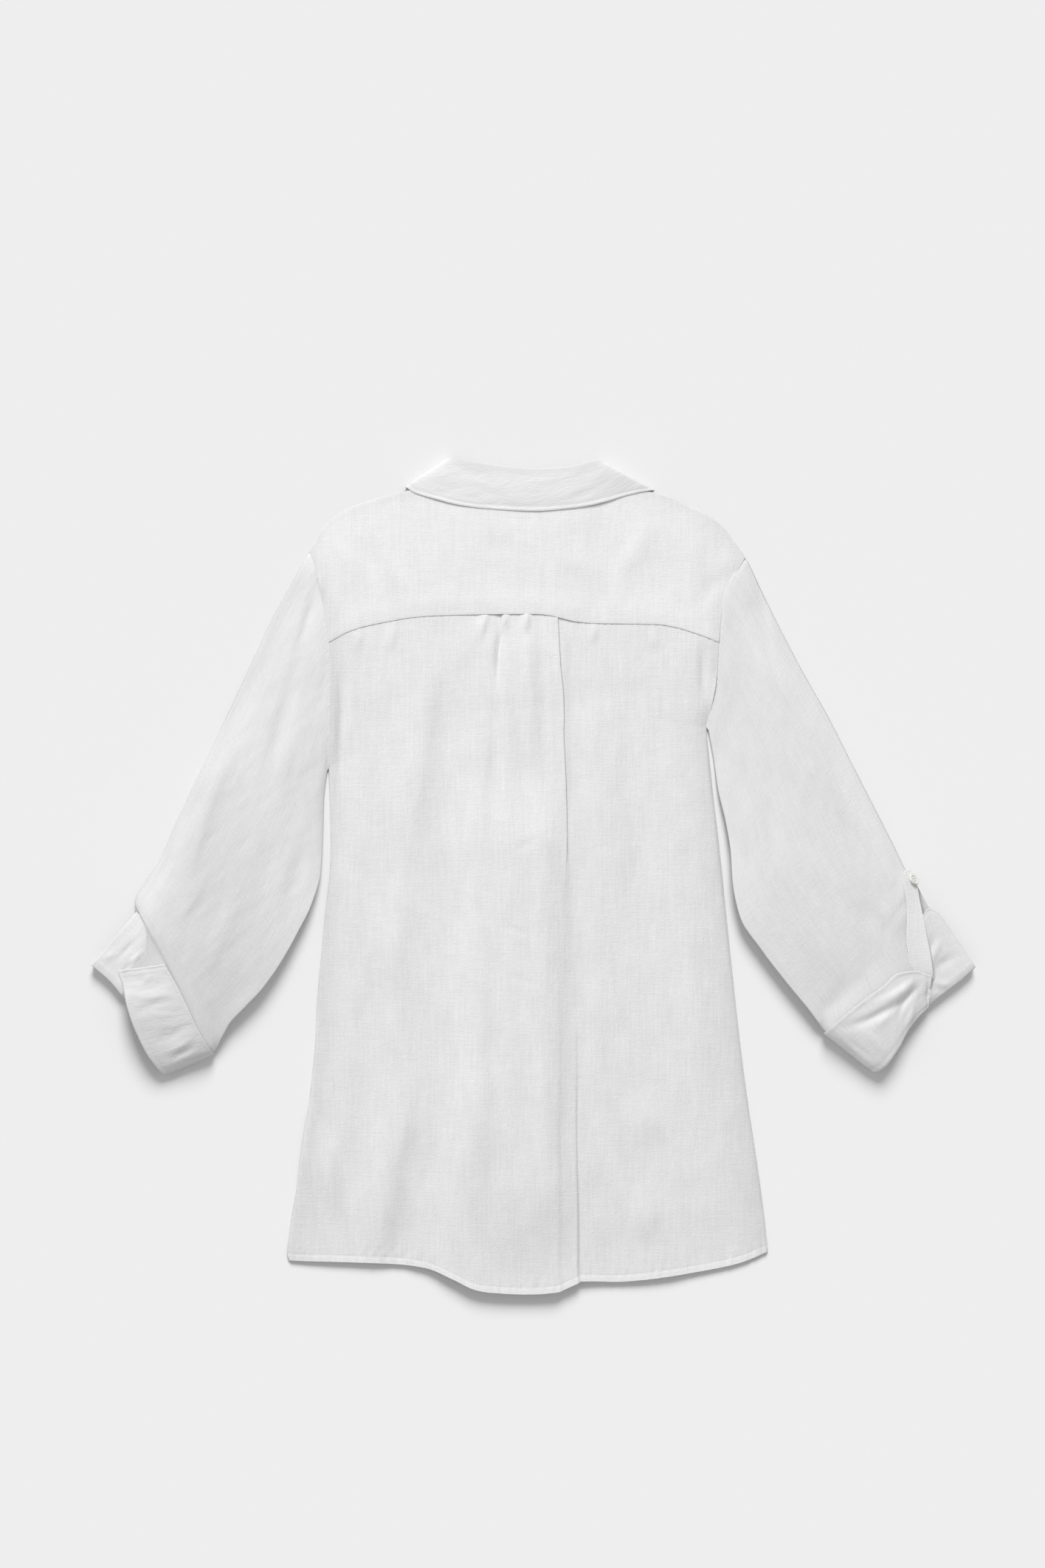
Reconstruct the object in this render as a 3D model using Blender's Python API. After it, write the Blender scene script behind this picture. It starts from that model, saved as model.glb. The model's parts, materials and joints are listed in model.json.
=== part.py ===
"""A linen blouse laid flat with its back up and its sleeves rolled to the forearm.

Tables are in millimetres in the part's own frame: x to the right as one looks down on the back,
y towards the collar, z up from the surface that the blouse lies on. Every height is that of the
middle of the cloth, so cloth that lies on the surface has a height of half its thickness.
"""

import math

import bmesh
import bpy
import numpy as np

MM = 0.001
CLOTH = 1.2  # one layer of the linen with the air in its weave
COLLAR_CLOTH = 1.6  # two layers and an interlining
HEM_CLOTH = 2.0  # cloth turned twice and stitched
SEAM_GAP = 0.3
LAYER = CLOTH + SEAM_GAP  # from the middle of one layer to the middle of the next
ON_FLOOR = CLOTH / 2

CENTRE_FRONT = -10.5  # x of the buttons
BAND_OVERLAP = 14.0  # each front runs this far past the buttons
BUTTON_RADIUS = 5.5
BUTTON_THICK = 2.6
BUTTON_SIDES = 16
FRONT_BUTTON_TOP = 250.0
FRONT_BUTTON_PITCH = 85.0
FRONT_BUTTONS = 7

BACK_HEIGHT = 5.4  # of the back inside its edges, where it lies over the fronts
BACK_REACH = 15.0  # and over what distance from the side it gets there
BACK_EDGES = {"hem": 0.12, "yoke": 0.06}  # shares of its length over which its edges rise to that
BAND_BUMP = {"at": 0.5, "reach": 0.12, "rise": 1.2}  # over the front's buttons
YOKE_HEIGHT = 6.0
YOKE_REACH = {"side": 12.0, "top": 10.0}
YOKE_EDGE = {"rise": 1.6, "reach": 0.12}  # its lower edge over the back's seam allowance
YOKE_BUMP = {"at": 0.51, "reach": 0.13, "rise": 1.8, "fade": 0.35}  # over the box pleat
FRONT_HEM_RISE = 5.0  # the fronts are this much shorter than the back
FRONT_HEM_RAMP = 0.1  # but for this share of their width at the side seam
FRONT_BANDS = {"left": (-54, -34), "right": (32, 12)}  # from and to what x the button band rises
PLEAT_STEP = 3.2  # a box pleat's top above the cloth beside it, three layers in all
PLEAT_BEND = 0.8  # how round its folds are
HEM_SHARE = 0.03  # of the back's length is the turned hem
TURN_BACK = 2.0  # between a cuff and the sleeve inside it
CUFF_LEG = 0.26  # share of a cuff's width that goes back inside from its rim
LEG_GAP = 0.006  # share of its width between that leg's edge and the sleeve's
CUFF_START = 0.1  # turn of a cuff's stitched end, at the sleeve's slit
INNER_FOLD = 0.5  # turn of the sleeve's inner fold

WHITE_LINEN = (0.86, 0.87, 0.87, 1)
SHELL_BUTTON = (0.84, 0.84, 0.82, 1)


def table(columns, rows):
    """Rows of numbers as a dictionary of named columns."""
    return dict(zip(columns.split(), np.array(rows, float).T))


LEFT_SIDE = table(
    "x y z",
    [
        (-232.4, -365.0, 2.6),
        (-234.1, -358.0, 2.6),
        (-228.9, -321.6, 2.1),
        (-219.1, -248.8, 2.1),
        (-209.3, -183.0, 2.1),
        (-205.1, -113.0, 2.1),
        (-197.4, -32.5, 2.1),
        (-193.2, 7.3, 2.1),
        (-192.5, 40.9, 2.1),
        (-193.9, 75.0, 2.1),
        (-194.6, 101.8, 2.1),
    ],
)
RIGHT_SIDE = table(
    "x y z",
    [
        (221.6, -356.6, 2.6),
        (217.0, -315.3, 2.1),
        (210.0, -265.6, 2.1),
        (200.2, -199.8, 2.1),
        (190.4, -117.9, 2.1),
        (184.8, -64.8, 2.1),
        (180.6, -24.8, 2.1),
        (175.7, 23.4, 2.1),
        (168.7, 82.9, 2.1),
        (163.1, 140.3, 2.1),
    ],
)
# The armholes of the back, from the underarm to the yoke seam, and then of the yoke.
LEFT_ARMHOLE = table(
    "x y z",
    [
        (-194.6, 101.8, 2.1),
        (-194.4, 122.0, 4.4),
        (-193.9, 150.0, 5.8),
        (-193.9, 184.0, 6.4),
        (-194.6, 222.2, 6.4),
    ],
)
LEFT_YOKE_ARMHOLE = table(
    "x y z",
    [
        (-194.6, 222.2, 6.4),
        (-200.2, 256.6, 6.0),
        (-206.5, 288.8, 4.4),
        (-212.8, 306.9, 2.1),
    ],
)
RIGHT_ARMHOLE = table(
    "x y z",
    [
        (163.1, 140.3, 2.1),
        (168.0, 160.0, 4.8),
        (173.0, 189.3, 6.2),
        (175.0, 222.2, 6.4),
    ],
)
RIGHT_YOKE_ARMHOLE = table(
    "x y z",
    [
        (175.0, 222.2, 6.4),
        (177.8, 249.5, 6.0),
        (186.2, 276.8, 4.8),
        (200.2, 301.3, 2.1),
    ],
)
LEFT_FRONT_ARMHOLE = table(
    "x y z",
    [
        (-194.6, 101.8, ON_FLOOR),
        (-189.0, 128.0, ON_FLOOR),
        (-185.0, 165.0, ON_FLOOR),
        (-187.0, 215.0, ON_FLOOR),
        (-196.0, 262.0, ON_FLOOR),
        (-212.8, 306.9, ON_FLOOR),
    ],
)
RIGHT_FRONT_ARMHOLE = table(
    "x y z",
    [
        (163.1, 140.3, ON_FLOOR),
        (164.0, 165.0, ON_FLOOR),
        (166.0, 205.0, ON_FLOOR),
        (175.0, 255.0, ON_FLOOR),
        (200.2, 301.3, ON_FLOOR),
    ],
)
BACK_HEM = table(
    "x y z",
    [
        (-232.4, -365.0, 2.6),
        (-222.0, -365.6, 3.0),
        (-186.2, -366.4, 4.2),
        (-136.5, -368.2, 3.4),
        (-110.6, -370.6, 4.6),
        (-84.0, -378.3, 7.6),
        (-67.2, -388.5, 9.4),
        (-44.1, -394.6, 9.6),
        (-4.9, -396.6, 9.0),
        (21.7, -394.6, 9.4),
        (36.0, -388.8, 8.2),
        (46.0, -384.6, 5.8),
        (77.7, -385.3, 4.2),
        (121.1, -381.1, 5.4),
        (160.3, -374.8, 3.8),
        (193.9, -367.8, 3.4),
        (221.6, -356.6, 2.6),
    ],
)
YOKE_SEAM = table(
    "x y z",
    [
        (-194.6, 222.2, 6.4),
        (-171.5, 234.1, 6.4),
        (-140.0, 241.5, 6.4),
        (-100.8, 247.1, 6.2),
        (-23.1, 248.8, 6.4),
        (2.1, 248.8, 6.4),
        (50.4, 240.4, 6.2),
        (118.3, 239.0, 6.2),
        (151.9, 231.0, 6.4),
        (175.0, 222.2, 6.4),
    ],
)
# The top edge of the yoke: a shoulder, the back of the neck, the other shoulder.
YOKE_TOP = table(
    "x y z",
    [
        (-212.8, 306.9, 2.1),
        (-196.7, 333.0, 2.1),
        (-177.8, 346.3, 2.1),
        (-142.0, 358.6, 2.1),
        (-128.0, 361.8, 4.1),
        (-108.0, 366.0, 4.1),
        (-92.0, 372.0, 4.4),
        (-70.0, 366.0, 6.4),
        (-45.0, 360.0, 6.8),
        (-10.5, 356.7, 6.8),
        (25.0, 359.0, 6.8),
        (50.0, 365.0, 6.4),
        (71.0, 371.0, 4.4),
        (88.0, 366.0, 4.1),
        (118.0, 359.4, 4.1),
        (132.0, 355.4, 2.1),
        (172.9, 335.0, 2.1),
        (200.2, 301.3, 2.1),
    ],
)
# Places across each front from its side seam to its edge, the last five over the buttons.
FRONT_COLUMNS = {
    "left": (0, 0.06, 0.16, 0.28, 0.4, 0.49, 0.5585, 0.585, 0.615, 0.66, 0.72),
    "right": (0, 0.06, 0.16, 0.28, 0.39, 0.48, 0.575, 0.6, 0.63, 0.68, 0.74),
}
FRONT_BAND_COLUMNS = {
    "left": (0.765, 0.805, 0.86, 0.93, 1),
    "right": (0.785, 0.83, 0.87, 0.93, 1),
}
# How far down the neck of each front is cut.
FRONT_NECK = table(
    "x y",
    [
        (-92.0, 372.0),
        (-87.0, 345.0),
        (-74.0, 312.0),
        (-46.0, 282.0),
        (-10.5, 272.0),
        (25.0, 282.0),
        (53.0, 312.0),
        (66.0, 345.0),
        (71.0, 371.0),
    ],
)
# Where the collar lies under the fronts, which it lifts.
COLLAR_UNDER = {"left": -128.0, "right": 118.0, "low": 232.0, "ramp": 13.0}
COLLAR_LIFT = COLLAR_CLOTH + SEAM_GAP

# The box pleat at the centre of the back: where each fold is along the width, and the overlap
# and height of its step at places up the back from hem (0) to yoke (1).
PLEATS = {"left": (0.436, -1), "right": (0.588, 1)}
LEFT_PLEAT = table(
    "up overlap step",
    [
        (0.0, -4.5, 0.4),
        (0.6, -4.5, 0.5),
        (0.82, -4.0, 1.2),
        (0.88, -1.6, 2.6),
        (0.91, 2.0, PLEAT_STEP),
        (1.0, 10.0, PLEAT_STEP),
    ],
)
RIGHT_PLEAT = table(
    "up overlap step",
    [
        (0.0, -5.0, 1.4),
        (0.2, -4.0, 1.8),
        (0.34, -1.4, 2.4),
        (0.42, 1.8, PLEAT_STEP),
        (0.6, 4.0, PLEAT_STEP),
        (1.0, 10.0, PLEAT_STEP),
    ],
)
# Soft folds of the back that fan from the yoke to the hem: place across at each end, the part of
# the height they cover, how high they stand and how wide they are.
FOLD_FADE = {"start": 0.12, "end": 0.15}
BACK_FOLDS = table(
    "yoke hem start end height width",
    [
        (0.10, 0.07, 0.10, 0.95, 1.0, 26),
        (0.22, 0.18, 0.02, 0.90, 1.3, 34),
        (0.33, 0.30, 0.05, 1.00, -1.1, 30),
        (0.38, 0.38, 0.00, 0.80, 1.2, 24),
        (0.51, 0.49, 0.05, 0.95, -1.0, 22),
        (0.68, 0.68, 0.02, 0.92, 1.1, 32),
        (0.79, 0.80, 0.10, 0.98, -0.9, 30),
        (0.89, 0.90, 0.05, 0.80, 1.2, 28),
    ],
)

# Each row is a ring round a sleeve, from the armhole to the slit: its outer and its inner fold
# in plan, their heights, the height of its top, how much it still follows the armhole, and where
# across it the slit has opened its top layer.
RING_COLUMNS = "outer_x outer_y inner_x inner_y outer_z inner_z crown seam slit"
LEFT_RINGS = table(
    RING_COLUMNS,
    [
        (-212.8, 306.9, -194.6, 101.8, 1.35, 1.35, 7.2, 1.0, 0),
        (-231.0, 274.3, -199.4, 72.0, 2.6, 2.6, 9.5, 0.6, 0),
        (-254.8, 230.0, -200.4, 38.0, 3.2, 4.0, 12.0, 0.3, 0),
        (-280.0, 174.5, -202.5, 2.0, 3.6, 6.0, 14.0, 0.1, 0),
        (-304.0, 124.0, -211.0, -28.0, 4.0, 8.0, 15.5, 0, 0),
        (-326.2, 78.0, -224.0, -54.5, 4.2, 9.5, 17.0, 0, 0),
        (-341.9, 44.0, -240.0, -83.0, 4.6, 10.5, 18.0, 0, 0),
        (-354.2, 15.0, -257.0, -107.0, 5.0, 11.0, 19.0, 0, 0),
        (-367.5, -6.0, -274.0, -125.0, 5.0, 11.0, 19.5, 0, 0),
        (-378.2, -26.2, -288.0, -140.0, 5.0, 11.0, 19.5, 0, 0),
        (-378.7, -31.0, -295.0, -152.0, 3.0, 10.0, 19.0, 0, 0.13),
    ],
)
RIGHT_RINGS = table(
    RING_COLUMNS,
    [
        (200.2, 301.3, 163.1, 140.3, 1.35, 1.35, 7.2, 1.0, 0),
        (217.0, 266.0, 170.0, 112.0, 2.6, 2.6, 9.5, 0.6, 0),
        (236.0, 227.5, 174.5, 80.0, 3.2, 4.0, 12.0, 0.3, 0),
        (257.0, 188.0, 181.5, 50.0, 3.6, 6.0, 14.0, 0.1, 0),
        (279.0, 149.0, 186.0, 22.0, 4.0, 8.0, 15.5, 0, 0),
        (302.0, 103.5, 188.0, -8.0, 4.2, 9.5, 17.0, 0, 0),
        (322.0, 64.5, 195.0, -40.0, 4.6, 10.5, 18.0, 0, 0),
        (340.0, 29.0, 216.0, -72.0, 5.0, 11.0, 19.0, 0, 0),
        (352.5, 4.0, 240.0, -103.0, 5.0, 11.0, 19.5, 0, 0),
        (362.2, -8.8, 259.0, -126.0, 5.0, 11.0, 19.5, 0, 0),
        (369.0, -21.0, 268.0, -138.0, 3.0, 10.0, 19.0, 0, 0.12),
    ],
)
# Places across a ring, 0 at the outer fold and 1 at the inner one. At the armhole they are also
# the points of the body's edge, with the yoke from the outer fold to YOKE_SHARE.
RING_TOP = (0, 0.012, 0.05, 0.12, 0.21, 0.31, 0.41, 0.51, 0.61, 0.71, 0.81, 0.89, 0.95, 0.988)
RING_BOTTOM = (1, 0.988, 0.95, 0.86, 0.7, 0.54, 0.38, 0.27, 0.15, 0.06, 0.015, 0)
YOKE_SHARE = 0.41
UNDERARM_UP = 0.82  # share of the height of the back and the fronts that is side seam
RING_SQUARENESS = 2.8
RING_SAG = {"depth": 1.15, "power": 0.8}  # how the lower half of a ring comes down to the surface
# How far the sleeve stands off the armhole's edge, in plan, and where across it the most.
ARMHOLE_GAP = {"top": 1.3 * SEAM_GAP, "underarm": 5.5 * SEAM_GAP, "from": 0.7, "to": 0.95}
ARMHOLE_LEAN = 0.25  # of the way out from the body, which is otherwise along x
SLIT_FADE = 0.25  # share of the top half beside the slit that follows the slit's edge

# A turned-back cuff, station by station round the arm from its stitched end: its free edge and
# its rim. The turn is 0 at the outer fold of the sleeve, then over the top, 0.5 at the inner
# fold, and back below.
CUFF_COLUMNS = "turn free_x free_y free_z rim_x rim_y rim_z"
LEFT_CUFF = table(
    CUFF_COLUMNS,
    [
        (0.10, -348.6, -83.6, 19.5, -394.8, -89.9, 13.5),
        (0.16, -341.5, -96.0, 20.8, -388.5, -105.0, 17.0),
        (0.22, -333.5, -110.0, 21.5, -385.5, -119.0, 19.0),
        (0.28, -326.0, -125.5, 21.5, -380.5, -136.0, 19.5),
        (0.34, -319.5, -140.0, 20.5, -373.5, -153.0, 18.5),
        (0.40, -312.5, -153.5, 18.5, -364.8, -170.5, 16.0),
        (0.45, -307.0, -162.5, 15.0, -357.0, -181.5, 12.5),
        (0.48, -304.3, -166.8, 11.0, -352.6, -187.0, 9.5),
        (0.50, -303.3, -168.6, 7.0, -350.8, -189.4, 6.4),
        (0.52, -304.6, -167.0, 3.4, -352.6, -187.6, 3.4),
        (0.55, -307.4, -161.8, 1.2, -356.0, -182.0, 1.2),
        (0.60, -313.0, -151.0, ON_FLOOR, -362.0, -172.0, ON_FLOOR),
        (0.70, -326.0, -125.0, ON_FLOOR, -377.0, -143.0, ON_FLOOR),
        (0.80, -341.0, -98.0, ON_FLOOR, -388.0, -118.0, ON_FLOOR),
        (0.86, -351.0, -80.0, ON_FLOOR, -396.0, -106.0, ON_FLOOR),
        (0.93, -364.0, -59.0, ON_FLOOR, -407.0, -95.0, ON_FLOOR),
        (1.00, -377.8, -38.5, ON_FLOOR, -419.0, -85.0, ON_FLOOR),
    ],
)
RIGHT_CUFF = table(
    CUFF_COLUMNS,
    [
        (0.10, 370.0, -93.4, 15.5, 370.5, -123.5, 12.5),
        (0.16, 357.5, -89.6, 18.0, 361.4, -135.2, 14.5),
        (0.22, 344.0, -91.4, 21.0, 352.5, -147.5, 16.5),
        (0.28, 327.5, -104.5, 22.9, 345.5, -160.6, 18.0),
        (0.34, 309.0, -117.8, 22.5, 338.8, -171.0, 17.5),
        (0.40, 292.5, -131.5, 20.5, 332.5, -179.5, 15.5),
        (0.45, 280.5, -142.5, 16.5, 327.0, -184.5, 12.0),
        (0.48, 275.8, -147.0, 11.6, 323.6, -186.2, 9.2),
        (0.50, 274.2, -149.0, 7.0, 321.0, -186.8, 6.4),
        (0.52, 276.0, -147.6, 3.4, 323.0, -185.0, 3.4),
        (0.55, 280.0, -142.6, 1.2, 327.4, -180.0, 1.2),
        (0.60, 288.0, -134.0, ON_FLOOR, 334.0, -171.0, ON_FLOOR),
        (0.70, 308.0, -116.0, ON_FLOOR, 349.0, -151.0, ON_FLOOR),
        (0.80, 332.0, -94.0, ON_FLOOR, 367.0, -129.0, ON_FLOOR),
        (0.86, 346.0, -77.0, ON_FLOOR, 381.0, -116.0, ON_FLOOR),
        (0.93, 362.0, -57.0, ON_FLOOR, 399.0, -103.0, ON_FLOOR),
        (1.00, 378.0, -36.0, ON_FLOOR, 417.4, -86.5, ON_FLOOR),
    ],
)
# Places round a cuff before its flap, and across it from its free edge, where its top side is
# a little higher.
CUFF_TURNS = (0.1, 0.16, 0.22, 0.28, 0.34, 0.4, 0.45, 0.48, 0.5, 0.52, 0.55, 0.6, 0.7, 0.8)
CUFF_WIDTHS = table("width rise", [(0, 0), (0.3, 1.0), (0.62, 1.0), (0.9, 0.3)])
CUFF_RISE_END = 0.46
LEG_WIDTH = 0.95  # first row of the leg inside a cuff
# The last stretch of each cuff is turned in over the rim, and lies in the slit. Where it starts,
# the sleeve inside comes down to the surface over DROP.
DROP = (0.81, 0.85)
LEFT_FLAP = table(
    "turn x y z",
    [
        (0.83, -362.0, -64.0, 9.5),
        (0.89, -366.5, -57.5, 9.2),
        (0.95, -371.0, -51.0, 8.6),
        (1.00, -376.0, -45.5, 7.5),
    ],
)
RIGHT_FLAP = table(
    "turn x y z",
    [
        (0.83, 366.0, -56.0, 9.5),
        (0.89, 367.5, -40.0, 9.2),
        (0.95, 374.0, -31.2, 8.6),
        (1.00, 384.0, -37.5, 7.0),
    ],
)
FLAP_BASE = 3.6  # height of its turn, and of the rim there
FLAP_RIM = 2.1
# The edge of the sleeve's slit inside the cuff, along the cuff's width from its free edge.
LEFT_SLIT = table(
    "width x y z",
    [
        (0.0, -361.9, -64.0, 15.0),
        (0.35, -361.5, -82.5, 14.0),
        (0.75, -380.5, -88.0, 13.0),
    ],
)
RIGHT_SLIT = table(
    "width x y z",
    [
        (0.0, 361.0, -74.0, 12.5),
        (0.35, 366.0, -90.0, 12.5),
        (0.75, 370.4, -112.0, 11.5),
    ],
)

# The tab that holds the right roll, from its tip past the button to the cuff's free edge. It
# slopes across by its tilt.
RIGHT_TAB = table(
    "x y z half_width tilt",
    [
        (352.5, 6.0, 14.2, 3.0, -0.35),
        (353.5, 2.0, 14.4, 6.0, -0.35),
        (355.5, -8.0, 15.0, 6.8, -0.35),
        (358.0, -25.0, 17.2, 6.8, -0.2),
        (360.0, -41.0, 18.8, 8.0, -0.1),
        (361.0, -58.0, 19.4, 10.0, -0.05),
        (363.0, -74.0, 19.1, 10.5, 0),
        (365.0, -88.5, 18.6, 10.5, 0),
    ],
)
# The other tab is not in use, and hangs inside its sleeve.
LEFT_TAB = table(
    "x y z half_width tilt",
    [
        (-320.0, 24.0, 5.1, 9.0, 0),
        (-324.0, 5.0, 5.1, 9.0, 0),
        (-329.0, -15.0, 4.8, 9.0, 0),
        (-333.0, -35.0, 3.4, 9.0, 0),
        (-336.0, -51.0, 2.8, 8.0, 0),
        (-337.0, -57.0, 2.8, 3.0, 0),
    ],
)
RIGHT_TAB_BUTTON = {"centre": (356.0, -5.0, 15.5), "tilt": (-0.06, 0.34, 0)}
LEFT_TAB_BUTTON = (-321.0, 16.0)
BUTTON_ROOM = {"full": 20.0, "none": 38.0}  # how near it the sleeve is lifted, in plan

# The collar, station by station from its left front end round the back to its right front end:
# the roll line, the outer edge, the seam to the neck, and the heights of the seam, of the stand
# at the roll line and of the fall.
COLLAR = table(
    "roll_x roll_y edge_x edge_y neck_x neck_y neck_z stand_z fall_z edge_z",
    [
        (-17.0, 297.0, -66.0, 240.0, -17.0, 275.6, 5.0, 5.6, 0.8, 0.8),
        (-34.0, 301.0, -90.0, 266.0, -34.0, 280.6, 4.2, 5.0, 0.8, 0.8),
        (-52.0, 318.0, -106.0, 298.0, -59.5, 298.0, 2.5, 4.4, 0.8, 0.8),
        (-64.0, 343.0, -114.0, 330.0, -77.0, 326.0, 2.5, 4.2, 0.8, 0.8),
        (-72.0, 372.0, -117.5, 350.0, -85.5, 350.0, 2.5, 4.2, 0.8, 0.8),
        (-76.2, 388.5, -119.6, 361.0, -88.6, 364.5, 2.8, 4.4, 0.8, 0.8),
        (-78.6, 393.8, -121.3, 365.6, -89.6, 370.4, 3.8, 5.0, 1.2, 1.0),
        (-79.8, 396.4, -122.0, 367.8, -90.0, 374.0, 4.8, 6.0, 5.2, 3.4),
        (-78.4, 396.2, -120.8, 367.0, -88.6, 373.8, 5.6, 6.8, 8.8, 6.2),
        (-74.0, 395.0, -114.5, 362.6, -84.5, 372.2, 6.2, 7.3, 10.2, 7.2),
        (-58.8, 391.7, -92.0, 355.6, -71.0, 368.2, 6.8, 7.8, 10.8, 8.6),
        (-30.8, 387.5, -62.3, 348.8, -44.0, 361.4, 7.0, 7.8, 10.8, 9.0),
        (0.0, 384.8, 0.0, 344.6, -10.5, 358.2, 7.0, 7.8, 10.8, 9.0),
        (32.2, 386.8, 53.9, 350.2, 27.0, 360.8, 7.0, 7.8, 10.8, 9.0),
        (50.0, 391.0, 84.0, 358.6, 50.0, 366.6, 6.8, 7.8, 10.8, 8.4),
        (57.0, 392.6, 102.0, 363.2, 64.0, 371.2, 6.2, 7.3, 10.2, 7.2),
        (60.6, 393.0, 111.5, 365.4, 67.6, 373.4, 5.6, 6.8, 8.8, 6.2),
        (61.6, 392.4, 113.6, 365.4, 69.0, 373.6, 4.8, 6.0, 5.2, 3.4),
        (60.6, 390.0, 112.6, 363.2, 68.6, 370.0, 3.8, 5.0, 1.2, 1.0),
        (58.4, 384.0, 110.4, 358.6, 67.6, 364.0, 2.8, 4.4, 0.8, 0.8),
        (52.0, 368.0, 106.0, 348.0, 64.5, 350.0, 2.5, 4.2, 0.8, 0.8),
        (43.0, 343.0, 97.0, 328.0, 56.0, 326.0, 2.5, 4.2, 0.8, 0.8),
        (31.0, 318.0, 84.0, 297.0, 38.5, 298.0, 2.5, 4.2, 0.8, 0.8),
        (13.0, 302.0, 68.0, 266.0, 13.0, 280.6, 3.2, 4.2, 0.8, 0.8),
        (-4.0, 297.0, 45.0, 240.0, -4.0, 275.6, 3.5, 4.2, 0.8, 0.8),
    ],
)
ROLL = 3.0  # how far back from the fold the stand meets the fall
STAND_GAP = 3.4 * SEAM_GAP  # between them there
STAND_ROWS = (0, 0.35, 0.7, 1)
ROLL_ROWS = table("back share", [(0.7, 0.12), (0.0, 0.5), (0.7, 0.88)])  # round the fold
FALL_START = 4.0  # past the fold the fall is flat
FALL_ROWS = (0, 0.3, 0.62, 0.93, 1)
FALL_SLOPE = 1.5


def curve(at, knots, values):
    """Values drawn as a smooth curve over their knots, which never swings past them."""
    at = np.clip(np.asarray(at, float), knots[0], knots[-1])
    gaps = np.diff(knots)
    rates = np.diff(values) / gaps
    before, after = rates[:-1], rates[1:]
    same_way = before * after > 0
    slopes = np.concatenate([rates[:1], np.zeros(len(rates) - 1), rates[-1:]])
    slopes[1:-1][same_way] = (2 * before * after)[same_way] / (before + after)[same_way]
    k = np.clip(np.searchsorted(knots, at, side="right") - 1, 0, len(gaps) - 1)
    s = (at - knots[k]) / gaps[k]
    return (
        (1 + 2 * s) * (1 - s) ** 2 * values[k]
        + s * (1 - s) ** 2 * gaps[k] * slopes[k]
        + s**2 * (3 - 2 * s) * values[k + 1]
        + s**2 * (s - 1) * gaps[k] * slopes[k + 1]
    )


def soft_step(value):
    """0 below 0, 1 above 1, and smooth between."""
    value = np.clip(value, 0, 1)
    return value**2 * (3 - 2 * value)


def along_shares(line):
    """How far along a line each of its points is, as a share of its length in plan."""
    steps = np.hypot(np.diff(line["x"]), np.diff(line["y"]))
    return np.concatenate([[0], np.cumsum(steps)]) / steps.sum()


def along(line, at):
    """Points of a line with x, y and z, at shares of its length in plan."""
    shares = along_shares(line)
    return np.stack([curve(at, shares, line[axis]) for axis in "xyz"], -1)


def on_back_armhole(yoke_arm, back_arm, shares):
    """Points of the armhole at places across the top of the sleeve."""
    on_yoke = along(yoke_arm, 1 - shares / YOKE_SHARE)
    on_back = along(back_arm, (1 - shares) / (1 - YOKE_SHARE))
    return np.where(shares[:, None] < YOKE_SHARE, on_yoke, on_back)


def side_and_armhole(side, side_rows, armhole, arm_rows):
    """Points up a side seam and then up the armhole above it."""
    return np.concatenate([along(side, side_rows), along(armhole, arm_rows)[1:]])


def rows_of(side_rows, arm_rows):
    """How far up a panel its rows are, in shares of its height."""
    arm = UNDERARM_UP + (1 - UNDERARM_UP) * arm_rows
    return np.concatenate([UNDERARM_UP * side_rows, arm[1:]])


def filled(bottom, top, left, right, across, up):
    """The surface that four edges span, as a grid: rows run up, columns across."""
    u, v = across[None, :, None], up[:, None, None]
    corners = (
        (1 - u) * (1 - v) * bottom[None, :1]
        + u * (1 - v) * bottom[None, -1:]
        + (1 - u) * v * top[None, :1]
        + u * v * top[None, -1:]
    )
    edges = (1 - v) * bottom[None] + v * top[None] + (1 - u) * left[:, None] + u * right[:, None]
    return edges - corners


def material(name, colour, roughness):
    made = bpy.data.materials.new(name)
    made.use_nodes = True
    shader = made.node_tree.nodes["Principled BSDF"]
    shader.inputs["Base Color"].default_value = colour
    shader.inputs["Roughness"].default_value = roughness
    shader.inputs["Metallic"].default_value = 0
    return made


def sheet(name, grid, finish, thick=CLOTH, closed_rows=(), missing=()):
    """Cloth round a grid of points at its middle. In a closed row the last point is the first
    one again. A missing cell is named by its row and column. thick is one number, or one for
    each row of the grid."""
    rows, columns = grid.shape[:2]
    thick = np.broadcast_to(np.asarray(thick, float), (rows,))
    form = bmesh.new()
    weight = form.verts.layers.deform.verify()
    points = [
        [
            None if c == columns - 1 and r in closed_rows else form.verts.new(grid[r, c] * MM)
            for c in range(columns)
        ]
        for r in range(rows)
    ]
    for r in closed_rows:
        points[r][-1] = points[r][0]
    for r in range(rows - 1):
        for c in range(columns - 1):
            if (r, c) not in missing:
                form.faces.new(
                    (points[r][c], points[r][c + 1], points[r + 1][c + 1], points[r + 1][c])
                )
    for r in range(rows):
        for c in range(columns):
            points[r][c][weight][0] = thick[r] / thick.max()
    loose = [point for point in form.verts if not point.link_faces]
    bmesh.ops.delete(form, geom=loose, context="VERTS")
    mesh = bpy.data.meshes.new(name)
    form.to_mesh(mesh)
    form.free()
    mesh.shade_smooth()
    mesh.materials.append(material(name, finish, 0.9))
    piece = bpy.data.objects.new(name, mesh)
    bpy.context.scene.collection.objects.link(piece)
    piece.vertex_groups.new(name="thickness")
    wall = piece.modifiers.new("wall", "SOLIDIFY")
    wall.thickness = thick.max() * MM
    wall.offset = 0
    wall.use_quality_normals = True
    wall.vertex_group = "thickness"
    return piece


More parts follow.
